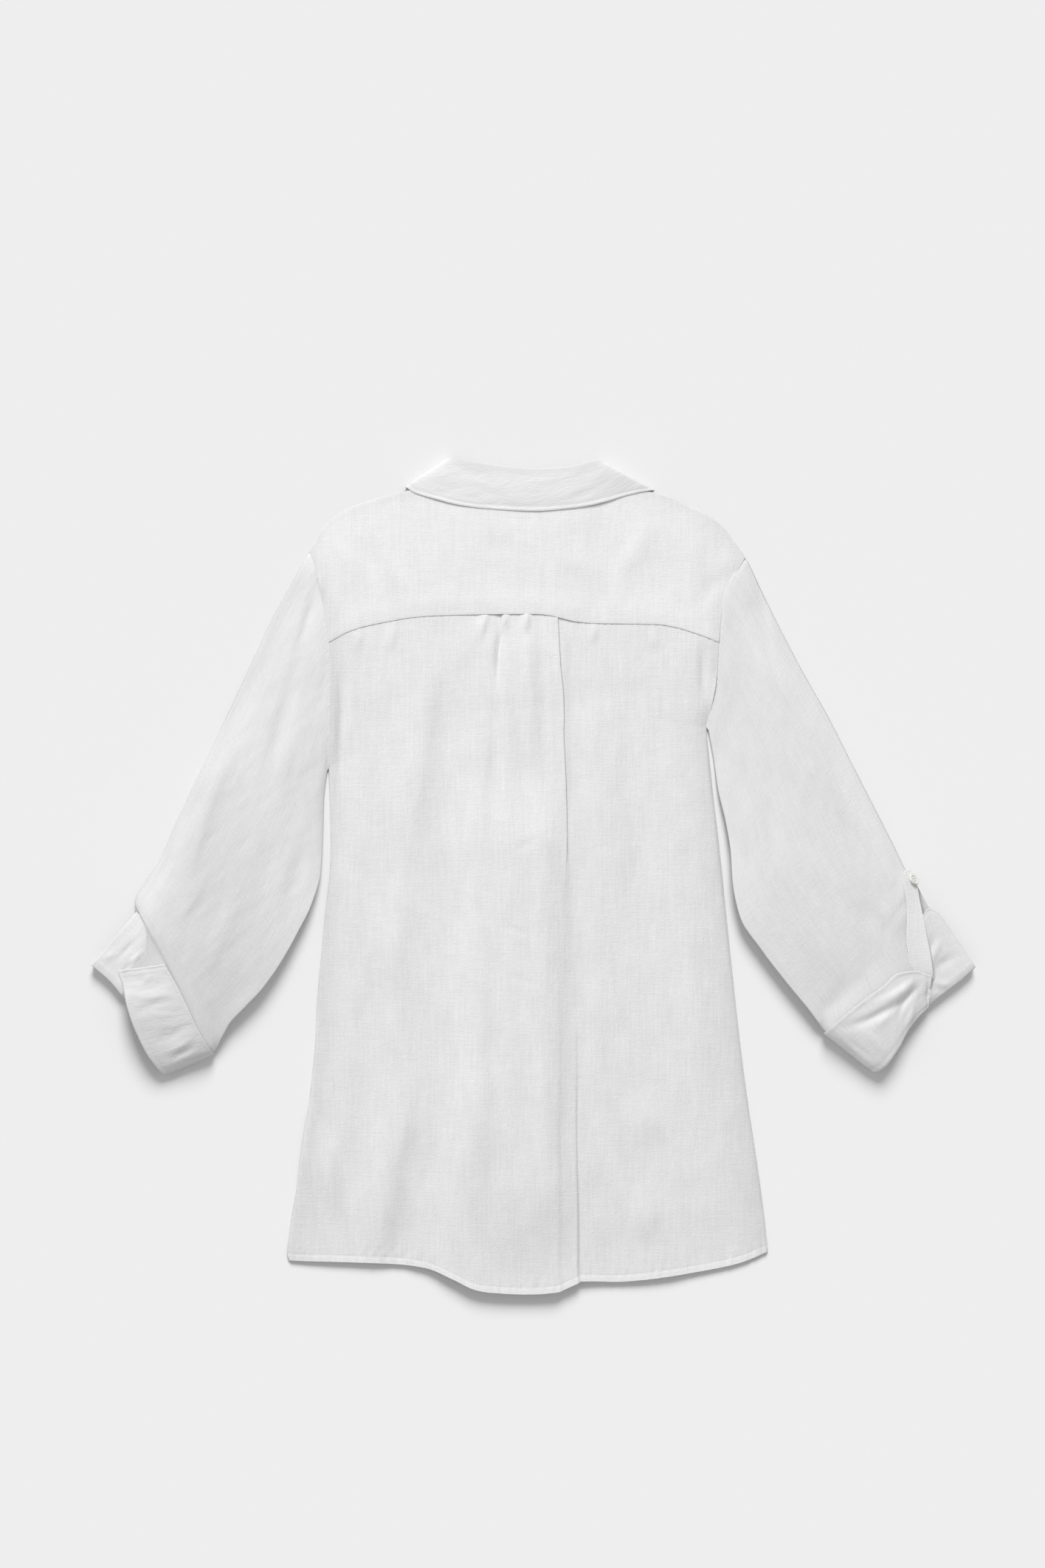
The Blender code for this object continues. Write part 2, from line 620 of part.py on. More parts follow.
def pleat_section(overlap, step):
    """Six points across one fold of the pleat, seen from its top side towards the fold and then
    down to the cloth beside it: how far each lies past the fold, and how high."""
    bend = PLEAT_BEND
    if overlap > 0:
        place = (-bend, 0, -bend, bend - overlap, -overlap, bend - overlap)
    else:
        place = tuple(np.linspace(-1, 1, 6) * (1.0 - overlap))
    height = np.array((1, 0.75, 0.5, 0.5, 0.25, 0)) if overlap > 0 else np.linspace(1, 0, 6)
    return np.array(place), height * step


def fold_heights(folds, across, up, width):
    """The height that soft folds add at each place of a panel of this width."""
    total = np.zeros(np.broadcast_shapes(across.shape, up.shape))
    for yoke, hem, start, end, height, wide in zip(*folds.values()):
        middle = hem + (yoke - hem) * up
        off = (across - middle) * width / (wide / 2)
        length = soft_step((up - start) / FOLD_FADE["start"])
        length = length * soft_step((end - up) / FOLD_FADE["end"])
        total += height * length * np.exp(-(off**2))
    return total


def back_columns():
    """Places across the back, with six for each fold of its box pleat."""
    plain = (0, 0.02, 0.05, 0.1, 0.16, 0.22, 0.28, 0.34, 0.39, 0.415)
    box = (0.46, 0.49, 0.512, 0.535, 0.56)
    rest = (0.61, 0.635, 0.68, 0.735, 0.79, 0.84, 0.89, 0.93, 0.96, 0.985, 1)
    folds = [[place] * 6 for place, way in PLEATS.values()]
    starts = (len(plain), len(plain) + 6 + len(box))
    return np.concatenate([plain, folds[0], box, folds[1], rest]), starts


def back_grid():
    """The middle of the back panel, whose columns fan from the yoke to the hem."""
    across, starts = back_columns()
    side_rows = np.array((0, 0.015, 0.06, 0.12, 0.2, 0.28, 0.36, 0.45, 0.54, 0.63, 0.72, 0.8))
    side_rows = np.concatenate([side_rows, (0.88, 0.95, 1)])
    shares = np.array([f for f in RING_TOP if f >= YOKE_SHARE] + [1])
    arm_rows = ((1 - shares) / (1 - YOKE_SHARE))[::-1]
    rows_up = rows_of(side_rows, arm_rows)
    grid = filled(
        along(BACK_HEM, across),
        along(YOKE_SEAM, across),
        side_and_armhole(LEFT_SIDE, side_rows, LEFT_ARMHOLE, arm_rows),
        side_and_armhole(RIGHT_SIDE, side_rows, RIGHT_ARMHOLE, arm_rows),
        across,
        rows_up,
    )
    u, v = across[None, :], rows_up[:, None]
    width = (grid[:, -1, 0] - grid[:, 0, 0])[:, None]
    from_side = np.minimum(u, 1 - u) * width
    off_edges = soft_step(v / BACK_EDGES["hem"]) * soft_step((1 - v) / BACK_EDGES["yoke"])
    off_side = 1 - np.exp(-from_side / BACK_REACH)
    over_band = np.exp(-(((u - BAND_BUMP["at"]) / BAND_BUMP["reach"]) ** 2)) * BAND_BUMP["rise"]
    grid[..., 2] += np.clip(BACK_HEIGHT - grid[..., 2], 0, None) * off_side * off_edges
    grid[..., 2] += off_edges * (over_band + fold_heights(BACK_FOLDS, u, v, width))
    tables = (LEFT_PLEAT, RIGHT_PLEAT)
    for r, up in enumerate(rows_up):
        steps = []
        for start, fold, (place, way) in zip(starts, tables, PLEATS.values()):
            overlap = float(np.interp(up, fold["up"], fold["overlap"]))
            step = float(np.interp(up, fold["up"], fold["step"]))
            offset, height = pleat_section(overlap, step)
            order = slice(None, None, way)
            across_row = grid[r, start + 6, :2] - grid[r, start - 1, :2]
            across_row /= np.linalg.norm(across_row)
            grid[r, start : start + 6, :2] += way * offset[order][:, None] * across_row
            grid[r, start : start + 6, 2] += height[order]
            steps.append(step)
        box = slice(starts[0] + 6, starts[1])
        share = np.linspace(0, 1, box.stop - box.start + 2)[1:-1]
        grid[r, box, 2] += steps[0] + (steps[1] - steps[0]) * share
    grid[-1, :, 1] -= SEAM_GAP
    return grid, rows_up


def yoke_grid():
    """The middle of the yoke, a little proud of the back at their seam."""
    across = np.unique(back_columns()[0])
    shares = np.array([f for f in RING_TOP if f <= YOKE_SHARE])
    rows_up = (1 - shares / YOKE_SHARE)[::-1]
    grid = filled(
        along(YOKE_SEAM, across),
        along(YOKE_TOP, across),
        along(LEFT_YOKE_ARMHOLE, rows_up),
        along(RIGHT_YOKE_ARMHOLE, rows_up),
        across,
        rows_up,
    )
    u, v = across[None, :], rows_up[:, None]
    width = grid[:, -1:, 0] - grid[:, :1, 0]
    from_side = np.minimum(u, 1 - u) * width
    from_top = grid[-1:, :, 1] - grid[..., 1]
    off_side = 1 - np.exp(-from_side / YOKE_REACH["side"])
    off_top = 1 - np.exp(-from_top / YOKE_REACH["top"])
    over_seam = YOKE_EDGE["rise"] * np.exp(-v / YOKE_EDGE["reach"]) * off_side
    over_pleat = np.exp(-(((u - YOKE_BUMP["at"]) / YOKE_BUMP["reach"]) ** 4))
    over_pleat = YOKE_BUMP["rise"] * over_pleat * np.exp(-v / YOKE_BUMP["fade"])
    grid[..., 2] += np.clip(YOKE_HEIGHT - grid[..., 2], 0, None) * off_side * off_top
    grid[..., 2] += over_seam + over_pleat
    grid[0, :, 1] += SEAM_GAP
    return grid


def shared_height(line, x):
    return curve(x, line["x"], line["y"])


def collar_lift(x, y):
    """How far the collar below lifts a front at a place."""
    ramp = COLLAR_UNDER["ramp"]
    return (
        COLLAR_LIFT
        * soft_step((x - COLLAR_UNDER["left"] + ramp) / ramp)
        * soft_step((COLLAR_UNDER["right"] + ramp - x) / ramp)
        * soft_step((y - COLLAR_UNDER["low"] + ramp) / ramp)
    )


def front_grid(side, side_seam, armhole, columns, lift, ramp):
    """The middle of one front, from its side seam to its edge past the buttons. The button band
    is lifted off the surface by lift, which it reaches over the ramp (from x, to x)."""
    way = -1 if side == "left" else 1
    corner = side_seam["x"][0]
    edge = CENTRE_FRONT - way * BAND_OVERLAP
    hem_x = corner + (edge - corner) * columns
    hem_y = shared_height(BACK_HEM, hem_x) + FRONT_HEM_RISE * soft_step(columns / FRONT_HEM_RAMP)
    shoulder = armhole["x"][-1]
    top_x = edge + (hem_x - edge) * (shoulder - edge) / (corner - edge)
    neck = FRONT_NECK["x"][0 if side == "left" else -1]
    on_shoulder = (top_x - neck) * way >= 0
    top_y = np.where(
        on_shoulder, shared_height(YOKE_TOP, top_x), shared_height(FRONT_NECK, top_x)
    )
    flat = np.zeros(len(columns))
    side_rows = np.array((0, 0.05, 0.16, 0.3, 0.46, 0.62, 0.8, 1))
    arm_rows = 1 - np.array(RING_BOTTOM)
    rows_up = rows_of(side_rows, arm_rows)
    edge_y = hem_y[-1] + (top_y[-1] - hem_y[-1]) * rows_up
    grid = filled(
        np.stack([hem_x, hem_y, flat], -1),
        np.stack([top_x, top_y, flat], -1),
        side_and_armhole(side_seam, side_rows, armhole, arm_rows) * (1, 1, 0),
        np.stack([np.full(len(rows_up), edge), edge_y, np.zeros(len(rows_up))], -1),
        columns,
        rows_up,
    )
    x, y = grid[..., 0], grid[..., 1]
    band = lift * soft_step((x - ramp[0]) / (ramp[1] - ramp[0]))
    grid[..., 2] = ON_FLOOR + np.maximum(band, collar_lift(x, y))
    return grid


def ring_profile(f, outer_z, inner_z, crown, top):
    """Height across a flattened tube: a squarish arch on top, flat on the surface below."""
    edge = outer_z + (inner_z - outer_z) * f
    arch = np.clip(1 - np.abs(2 * f - 1) ** RING_SQUARENESS, 0, 1) ** (1 / RING_SQUARENESS)
    if top:
        return edge + (crown - edge) * arch
    sag = RING_SAG["depth"] * (edge - ON_FLOOR) * arch ** RING_SAG["power"]
    return np.maximum(ON_FLOOR, edge - sag)


def cuff_point(cuff, turn, width):
    """A point of the cuff's outer layer, and its inward direction there."""
    columns = [n for n in cuff if n != "turn"]
    step = 0.004

    def place(at):
        free = np.stack([curve(at, cuff["turn"], cuff[n]) for n in columns[:3]], -1)
        rim = np.stack([curve(at, cuff["turn"], cuff[n]) for n in columns[3:]], -1)
        return free, rim

    free, rim = place(turn)
    before = np.clip(turn - step, cuff["turn"][0], 1)
    after = np.clip(turn + step, cuff["turn"][0], 1)
    here = np.asarray(width)[..., None]
    first = place(before)
    last = place(after)
    round_arm = last[0] + (last[1] - last[0]) * here - first[0] - (first[1] - first[0]) * here
    inward = np.cross(round_arm, rim - free)
    inward /= np.linalg.norm(inward, axis=-1, keepdims=True)
    return free + (rim - free) * here, inward


def inside_cuff(cuff, turn, width, side):
    """The sleeve's surface inside its cuff, or on the surface where the cuff has no layer
    below it."""
    turn, width = np.broadcast_arrays(np.asarray(turn, float), np.asarray(width, float))
    point, inward = cuff_point(cuff, turn, width)
    way = 1 if side == "left" else -1
    layered = 1 - soft_step((turn - DROP[0]) / (DROP[1] - DROP[0]))
    return point + way * inward * TURN_BACK * layered[..., None]


def ring_rows(rings, side, cuff, slit, back_arm, yoke_arm, front_arm):
    """The middle of a sleeve: rings from the armhole to the slit, then inside the cuff."""
    top, bottom = np.array(RING_TOP), np.array(RING_BOTTOM)
    top_arm = on_back_armhole(yoke_arm, back_arm, top)
    bottom_arm = along(front_arm, 1 - bottom)
    outward = np.array((-1.0 if side == "left" else 1.0, ARMHOLE_LEAN))
    rows = []
    for values in zip(*rings.values()):
        ring = dict(zip(rings, values))
        outer = np.array((ring["outer_x"], ring["outer_y"]))
        inner = np.array((ring["inner_x"], ring["inner_y"]))
        halves = []
        for shares, arm, is_top in ((top, top_arm, True), (bottom, bottom_arm, False)):
            f = ring["slit"] + (1 - ring["slit"]) * shares if is_top else shares
            plan = outer + (inner - outer) * f[:, None]
            height = ring_profile(f, ring["outer_z"], ring["inner_z"], ring["crown"], is_top)
            if ring["seam"] > 0:
                seam_z = np.where((f == 0) | (f == 1), LAYER / 2 + ON_FLOOR, arm[:, 2])
                straight = arm[0, :2] + (arm[-1, :2] - arm[0, :2]) * np.abs(f - f[0])[:, None]
                plan = plan + (arm[:, :2] - straight) * ring["seam"]
                height = height + (seam_z - height) * ring["seam"]
            halves.append(np.column_stack([plan, height]))
        rows.append(np.concatenate(halves))
    first = rows[0]
    gap = ARMHOLE_GAP
    steep = soft_step((np.concatenate([top, bottom]) - gap["from"]) / (gap["to"] - gap["from"]))
    apart = gap["top"] + (gap["underarm"] - gap["top"]) * steep
    first[:, :2] += outward / np.linalg.norm(outward) * apart[:, None]
    if side == "left":
        for row in rows:
            off = np.linalg.norm(row[:, :2] - LEFT_TAB_BUTTON, axis=1)
            fade = BUTTON_ROOM["none"] - BUTTON_ROOM["full"]
            near = soft_step((BUTTON_ROOM["none"] - off) / fade)
            row[:, 2] = np.maximum(row[:, 2], ON_FLOOR + (BUTTON_THICK + SEAM_GAP) * near)
    over = CUFF_START + (INNER_FOLD - CUFF_START) * top
    turn = np.concatenate([over, INNER_FOLD + (1 - INNER_FOLD) * (1 - bottom)])
    leg_end = 1 - CUFF_LEG
    for width in (0.0, leg_end / 2, leg_end - LEG_GAP):
        row = inside_cuff(cuff, turn, width, side)
        start = np.array([curve(width, slit["width"], slit[n]) for n in ("x", "y", "z")])
        fade = np.clip(1 - top / SLIT_FADE, 0, 1) ** 2
        row[: len(top)] += (start - row[0]) * fade[:, None]
        rows.append(row)
    return np.array(rows)


def cuff_grid(cuff, flap, side):
    """The middle of a turned-back cuff: from its free edge to its rim, and back inside by a
    leg that meets the sleeve. Its last columns are the end that is turned in over the rim."""
    first = len(CUFF_TURNS)
    turn = np.concatenate([CUFF_TURNS, flap["turn"]])
    rows = []
    for width, rise in zip(*CUFF_WIDTHS.values()):
        row = cuff_point(cuff, turn, np.full(len(turn), width))[0]
        row[:, 2] += rise * (turn < CUFF_RISE_END)
        rows.append(row)
    rim, inward = cuff_point(cuff, turn, np.ones(len(turn)))
    way = 1 if side == "left" else -1
    rows.append(rim + way * inward * TURN_BACK / 2)
    for width in (LEG_WIDTH, 1 - CUFF_LEG):
        rows.append(inside_cuff(cuff, turn, np.full(len(turn), width), side))
    grid = np.array(rows)
    end = np.stack([flap[axis] for axis in "xyz"], -1)
    rim_row = len(CUFF_WIDTHS["width"])
    base = grid[rim_row, first:].copy()
    base[:, 2] = FLAP_BASE
    for r, width in enumerate(CUFF_WIDTHS["width"]):
        grid[r, first:] = end + (base - end) * width
    grid[rim_row, first:, 2] = FLAP_RIM
    missing = {(r, first - 1) for r in range(rim_row)}
    return grid, missing


def collar_grids():
    """The middles of the collar's stand and of its fall. They meet just behind the fold."""
    count = len(COLLAR["roll_x"])
    at = np.linspace(0, count - 1, 2 * count - 1)
    knots = np.arange(count, dtype=float)
    c = {name: curve(at, knots, values) for name, values in COLLAR.items()}
    roll = np.stack([c["roll_x"], c["roll_y"]], -1)
    edge = np.stack([c["edge_x"], c["edge_y"]], -1)
    neck = np.stack([c["neck_x"], c["neck_y"]], -1)
    to_edge = edge - roll
    to_edge /= np.linalg.norm(to_edge, axis=1, keepdims=True)
    to_neck = neck - roll
    to_neck /= np.linalg.norm(to_neck, axis=1, keepdims=True)
    rise = c["fall_z"] - c["stand_z"]
    meet = roll + to_neck * ROLL
    stand_top = meet + to_neck * STAND_GAP
    stand = []
    for share in STAND_ROWS:
        plan = neck + (stand_top - neck) * share
        stand.append(np.column_stack([plan, c["neck_z"] + (c["stand_z"] - c["neck_z"]) * share]))
    fall = [np.column_stack([meet, c["stand_z"]])]
    for back, share in zip(*ROLL_ROWS.values()):
        fall.append(np.column_stack([roll + to_edge * back, c["stand_z"] + rise * share]))
    start = roll + to_edge * FALL_START
    for share in FALL_ROWS:
        height = c["fall_z"] + (c["edge_z"] - c["fall_z"]) * share**FALL_SLOPE
        fall.append(np.column_stack([start + (edge - start) * share, height]))
    return np.array(stand), np.array(fall)


def strip_grid(line, steps, widths=(-1, -0.5, 0, 0.5, 1)):
    """The middle of a strip about a line, as wide and as tilted as its table says."""
    middle = along(line, np.linspace(0, 1, steps))
    knots = along_shares(line)
    half = curve(np.linspace(0, 1, steps), knots, line["half_width"])
    tilt = curve(np.linspace(0, 1, steps), knots, line["tilt"])
    ahead = np.gradient(middle[:, :2], axis=0)
    ahead /= np.linalg.norm(ahead, axis=1, keepdims=True)
    aside = np.column_stack([-ahead[:, 1], ahead[:, 0], tilt])
    return np.array([middle + aside * (half * w)[:, None] for w in widths]).swapaxes(0, 1)


def button(name, centre, tilt=(0, 0, 0)):
    """A turned button: a flat back, a rounded rim and a shallow dish."""
    profile = (
        (0, BUTTON_THICK * 0.72),
        (BUTTON_RADIUS * 0.62, BUTTON_THICK * 0.72),
        (BUTTON_RADIUS * 0.78, BUTTON_THICK),
        (BUTTON_RADIUS * 0.92, BUTTON_THICK * 0.94),
        (BUTTON_RADIUS, BUTTON_THICK * 0.55),
        (BUTTON_RADIUS * 0.86, 0),
        (0, 0),
    )
    form = bmesh.new()
    points = [form.verts.new((r * MM, 0, z * MM)) for r, z in profile]
    edges = [form.edges.new(pair) for pair in zip(points, points[1:])]
    bmesh.ops.spin(
        form,
        geom=points + edges,
        axis=(0, 0, 1),
        cent=(0, 0, 0),
        angle=math.tau,
        steps=BUTTON_SIDES,
        use_merge=True,
    )
    bmesh.ops.remove_doubles(form, verts=form.verts, dist=1e-6)
    bmesh.ops.recalc_face_normals(form, faces=form.faces)
    mesh = bpy.data.meshes.new(name)
    form.to_mesh(mesh)
    form.free()
    mesh.materials.append(material(name, SHELL_BUTTON, 0.35))
    mesh.shade_smooth()
    made = bpy.data.objects.new(name, mesh)
    made.location = np.array(centre) * MM
    made.rotation_euler = tilt
    bpy.context.scene.collection.objects.link(made)
    return made


def make_body():
    grid, rows_up = back_grid()
    thick = np.where(rows_up < HEM_SHARE, HEM_CLOTH, CLOTH)
    sheet("back", grid, WHITE_LINEN, thick)
    yoke = yoke_grid()
    thick = np.full(len(yoke), CLOTH)
    thick[0] = HEM_CLOTH
    sheet("yoke", yoke, WHITE_LINEN, thick)
    band = BUTTON_THICK + SEAM_GAP
    for side, seam, armhole, lift in (
        ("left", LEFT_SIDE, LEFT_FRONT_ARMHOLE, band + LAYER),
        ("right", RIGHT_SIDE, RIGHT_FRONT_ARMHOLE, band),
    ):
        columns = np.concatenate([FRONT_COLUMNS[side], FRONT_BAND_COLUMNS[side]])
        grid = front_grid(side, seam, armhole, columns, lift, FRONT_BANDS[side])
        sheet(f"front_{side}", grid, WHITE_LINEN)


def make_collar():
    stand, fall = collar_grids()
    sheet("collar_stand", stand, WHITE_LINEN, COLLAR_CLOTH)
    sheet("collar_fall", fall, WHITE_LINEN, COLLAR_CLOTH)


def make_sleeves():
    left_arms = (LEFT_ARMHOLE, LEFT_YOKE_ARMHOLE, LEFT_FRONT_ARMHOLE)
    right_arms = (RIGHT_ARMHOLE, RIGHT_YOKE_ARMHOLE, RIGHT_FRONT_ARMHOLE)
    for side, rings, cuff, slit, flap, arms in (
        ("left", LEFT_RINGS, LEFT_CUFF, LEFT_SLIT, LEFT_FLAP, left_arms),
        ("right", RIGHT_RINGS, RIGHT_CUFF, RIGHT_SLIT, RIGHT_FLAP, right_arms),
    ):
        grid = ring_rows(rings, side, cuff, slit, *arms)
        closed = [r for r, opened in enumerate(rings["slit"]) if opened == 0]
        sheet(f"sleeve_{side}", grid, WHITE_LINEN, closed_rows=closed)
        grid, missing = cuff_grid(cuff, flap, side)
        sheet(f"cuff_{side}", grid, WHITE_LINEN, missing=missing)


def make_tabs():
    sheet("tab_right", strip_grid(RIGHT_TAB, 12), WHITE_LINEN)
    sheet("tab_left", strip_grid(LEFT_TAB, 7), WHITE_LINEN)


def make_buttons():
    for number in range(FRONT_BUTTONS):
        y = FRONT_BUTTON_TOP - FRONT_BUTTON_PITCH * number
        button(f"button_front_{number + 1}", (CENTRE_FRONT, y, 0))
    button("button_tab_right", **RIGHT_TAB_BUTTON)
    button("button_tab_left", (*LEFT_TAB_BUTTON, 0))


def main():
    for thing in list(bpy.data.objects):
        bpy.data.objects.remove(thing)
    make_body()
    make_collar()
    make_sleeves()
    make_tabs()
    make_buttons()


main()
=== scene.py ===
"""Dresses a linen blouse that is laid flat with its back up and its sleeves rolled.

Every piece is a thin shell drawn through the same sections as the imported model's walls, with
finer folds, seams and stitches. Tables are in millimetres in the model's own frame: x to the right
as one looks down on the back, y towards the collar, z up from the surface that the blouse lies on.
"""

import json
import math

import bmesh
import bpy
import numpy as np
from bpy.props import FloatProperty, FloatVectorProperty, PointerProperty
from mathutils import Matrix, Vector

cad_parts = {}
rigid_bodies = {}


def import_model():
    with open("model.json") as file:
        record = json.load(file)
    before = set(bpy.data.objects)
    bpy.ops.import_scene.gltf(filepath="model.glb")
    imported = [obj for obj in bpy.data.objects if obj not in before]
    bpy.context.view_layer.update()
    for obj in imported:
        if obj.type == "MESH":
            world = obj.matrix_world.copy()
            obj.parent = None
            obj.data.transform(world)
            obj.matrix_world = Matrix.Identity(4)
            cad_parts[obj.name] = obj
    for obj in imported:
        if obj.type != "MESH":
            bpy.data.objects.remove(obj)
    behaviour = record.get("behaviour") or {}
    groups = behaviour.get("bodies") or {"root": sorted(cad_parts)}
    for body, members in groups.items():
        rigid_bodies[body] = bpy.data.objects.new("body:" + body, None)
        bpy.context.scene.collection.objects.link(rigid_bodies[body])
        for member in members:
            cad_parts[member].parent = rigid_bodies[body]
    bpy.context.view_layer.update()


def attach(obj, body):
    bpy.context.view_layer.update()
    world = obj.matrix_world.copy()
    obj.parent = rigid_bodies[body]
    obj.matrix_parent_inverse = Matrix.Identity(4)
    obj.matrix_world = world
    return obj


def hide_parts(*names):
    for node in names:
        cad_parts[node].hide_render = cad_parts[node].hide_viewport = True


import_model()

bl_info = {
    "name": "Linen Blouse",
    "version": (1, 0, 0),
    "blender": (4, 5, 0),
    "location": "3D View > Sidebar > Blouse",
    "description": "Makes a white linen blouse laid flat, with its seams, folds and stitches",
    "category": "Add Mesh",
}


def linear(code):
    """A colour given as six sRGB hex digits, in the linear values that shaders take."""
    shares = [int(code[k : k + 2], 16) / 255 for k in (0, 2, 4)]
    return [c / 12.92 if c <= 0.04045 else ((c + 0.055) / 1.055) ** 2.4 for c in shares]


def table(columns, rows):
    """Rows of numbers as a dictionary of named columns."""
    return dict(zip(columns.split(), np.array(rows, float).T))


BLEACHED_LINEN = "EBEBEB"
SHELL_WHITE = "E4E3DF"
SEWING_THREAD = "F4F4F2"
STUDIO_FLOOR = "EAEAEA"

MM = 0.001
CLOTH = 1.2  # one layer of the linen with the air in its weave
COLLAR_CLOTH = 1.6  # two layers and an interlining
SEAM_GAP = 0.3
LAYER = CLOTH + SEAM_GAP  # from the middle of one layer to the middle of the next
ON_FLOOR = CLOTH / 2

CENTRE_FRONT = -10.5  # x of the buttons
BAND_OVERLAP = 14.0  # each front runs this far past the buttons
BUTTON_RADIUS = 5.5
BUTTON_THICK = 2.6
FRONT_BUTTON_TOP = 250.0
FRONT_BUTTON_PITCH = 85.0
FRONT_BUTTONS = 7

BACK_HEIGHT = 5.4  # of the back inside its edges, where it lies over the fronts
BACK_REACH = 26.0  # and over what distance from the side it gets there
BACK_EDGES = {"hem": 0.12, "yoke": 0.06}  # shares of its length over which its edges rise to that
BAND_BUMP = {"at": 0.5, "reach": 0.12, "rise": 1.2}  # over the front's buttons
YOKE_HEIGHT = 6.0
YOKE_REACH = {"side": 22.0, "top": 22.0}
YOKE_EDGE = {"rise": 1.6, "reach": 0.12}  # its lower edge over the back's seam allowance
YOKE_BUMP = {"at": 0.51, "reach": 0.13, "rise": 1.8, "fade": 0.35}  # over the box pleat
FRONT_HEM_RISE = 5.0  # the fronts are this much shorter than the back
FRONT_HEM_RAMP = 0.1  # but for this share of their width at the side seam
FRONT_BANDS = {"left": (-54, -34), "right": (32, 12)}  # from and to what x the button band rises
PLEAT_STEP = 3.2  # a box pleat's top above the cloth beside it, three layers in all
PLEAT_BEND = 0.8  # how round its folds are
TURN_BACK = 2.0  # between a cuff and the sleeve inside it
CUFF_LEG = 0.26  # share of a cuff's width that goes back inside from its rim
LEG_GAP = 0.006  # share of its width between that leg's edge and the sleeve's
CUFF_START = 0.1  # turn of a cuff's stitched end, at the sleeve's slit
INNER_FOLD = 0.5  # turn of the sleeve's inner fold

# How fine each kind of piece is drawn.
FINE_CELL = 2.4  # side of a cell on the panels that show
HIDDEN_CELL = 4.2
SMALL_CELL = 1.5  # on cuffs and tabs
COLLAR_CELL = SMALL_CELL * 1.2
SLEEVE_CELL = 2.6
LATTICE = 97  # places each way over which the seeded waves repeat
RIM_STEPS = (0.5, 1.2, 2.2, 3.6)  # rows this far inside an edge
HEM_ROWS = (0.5, 1.2, 2.2, 3.6, 5.0, 5.7, 6.3, 6.9, 7.6, 8.6)
SEAM_ROWS = (0.4, 0.9, 1.5, 2.2, 3.0, 4.0, 5.2)
SLEEVE_ROWS = (0.6, 1.4, 2.6, 4.2)
COLLAR_ROWS = (0.4, 1.0, 1.8, 2.8, 4.0, 5.2)
FRONT_RIMS = (HEM_ROWS[::2], (2,), (1, 2), (1, 2, 4))
TAB_STEPS = {"right": 12, "left": 7}
THREAD_SIDES = 5
STITCH_STATIONS = 5
DRESSED = "dressed pieces"

HEM_DEPTH = 6.3  # from the hem's edge to its stitches
HEM_STEP = 0.8  # over which its second layer ends there
# How much thicker than one layer each of these is, once it is pressed.
THICKER = {"hem": 1.5, "hem stitches": 1.2, "cuff": 1.5, "collar": 2, "tab": 1.6}
EDGE_STITCH = 1.6  # from a turned edge to the stitches along it
STITCH_DENT = {"reach": 0.9, "depth": 0.12}
STITCH_ARCH = {"rise": 1.5, "sunk": 0.8}  # shares of the thread's radius
FLOOR_GAP = 0.05  # under what lies on the floor
SETTLE_REACH = 3.0  # how high above the floor the cloth still comes down with it
# A button from its middle to its rim and back below it: shares of its radius and its thickness.
BUTTON_PROFILE = (
    (0, 0.70), (0.50, 0.70), (0.60, 0.74), (0.70, 0.90), (0.78, 0.99), (0.86, 1.0), (0.94, 0.93),
    (0.99, 0.76), (1.0, 0.58), (0.97, 0.30), (0.90, 0.06), (0.82, 0), (0, 0),
)
HOLE_OFFSET = 1.15  # of a button's four holes from its middle, each way
HOLE_RADIUS = 0.75
BUTTON_SIDES = {"rim": 56, "hole": 20, "sharp": 38}  # and the degrees from which an edge is sharp
BAR_THICKER = 1.4  # the thread through the holes than the stitches
BAR_STRANDS = (-0.3, 0.3)  # of thread, either side of the middle of each bar

FLOOR_SIZE = 12  # metres
# The photograph, and how it was taken.
PHOTO_SIZE = (1416, 2124)
PHOTO_SCALE = 0.70  # millimetres a pixel on the surface
PHOTO_ORIGIN = (724, 1185.5)  # pixel of this frame's origin
LENS = 85.0
SENSOR = 36.0
# The window is a broad light past the collar, with its bearing in degrees from the right of the
# picture and its height in degrees. It has one place for the cloth, whose folds it models, and one
# for the floor, whose shadows it draws. The cloth has a softbox past the collar as well.
WINDOW = {"cloth": (111.0, 38.0), "floor": (84.0, 33.0), "width": 26.0}
SOFTBOX = {"place": (-0.2, 1.0, 1.4), "towards": (0.0, 0.0, 0.0), "size": 0.8}
# Uneven soft waves of each kind of piece: the width, length and height of each size of them,
# after the number that starts its random draws.
WAVES = {
    "back": ((11, 64, 150, 0.6), (23, 15, 34, 0.2)),
    "yoke": ((51, 52, 70, 0.42), (57, 13, 20, 0.12)),
    "sleeve": ((41, 34, 120, 0.85), (47, 11, 30, 0.22)),
    "cuff": ((83, 17, 50, 0.5), (87, 6, 18, 0.2)),
    "collar": ((81, 34, 16, 0.5),),
}
# Puckers along each seam: the number that starts the draws, their spacing, reach and height.
PUCKERS = {
    "back seam": (31, 5.2, 8, 0.4),
    "hem": (37, 5.4, 6, 0.8),
    "yoke seam": (61, 9, 5, 0.14),
    "armhole": (71, 7.5, 9, 0.35),
}
# Ridges along edges, from stitches and from turnings inside: place from the edge, reach, height.
RIDGES = {
    "cuff's free edge": ((1.8, 1.3, 0.3),),
    "cuff's end": ((1.2, 0.9, 0.4), (5.4, 1.0, 0.4)),
    "cuff's rim": ((1.4, 1.1, 0.6), (4.6, 1.6, -0.4)),
    "collar's edge": ((1.5, 0.9, 0.3), (4.2, 1.3, -0.22)),
}
TAPER = {"share": 0.5, "most": 90.0}  # over what a crease fades at each end
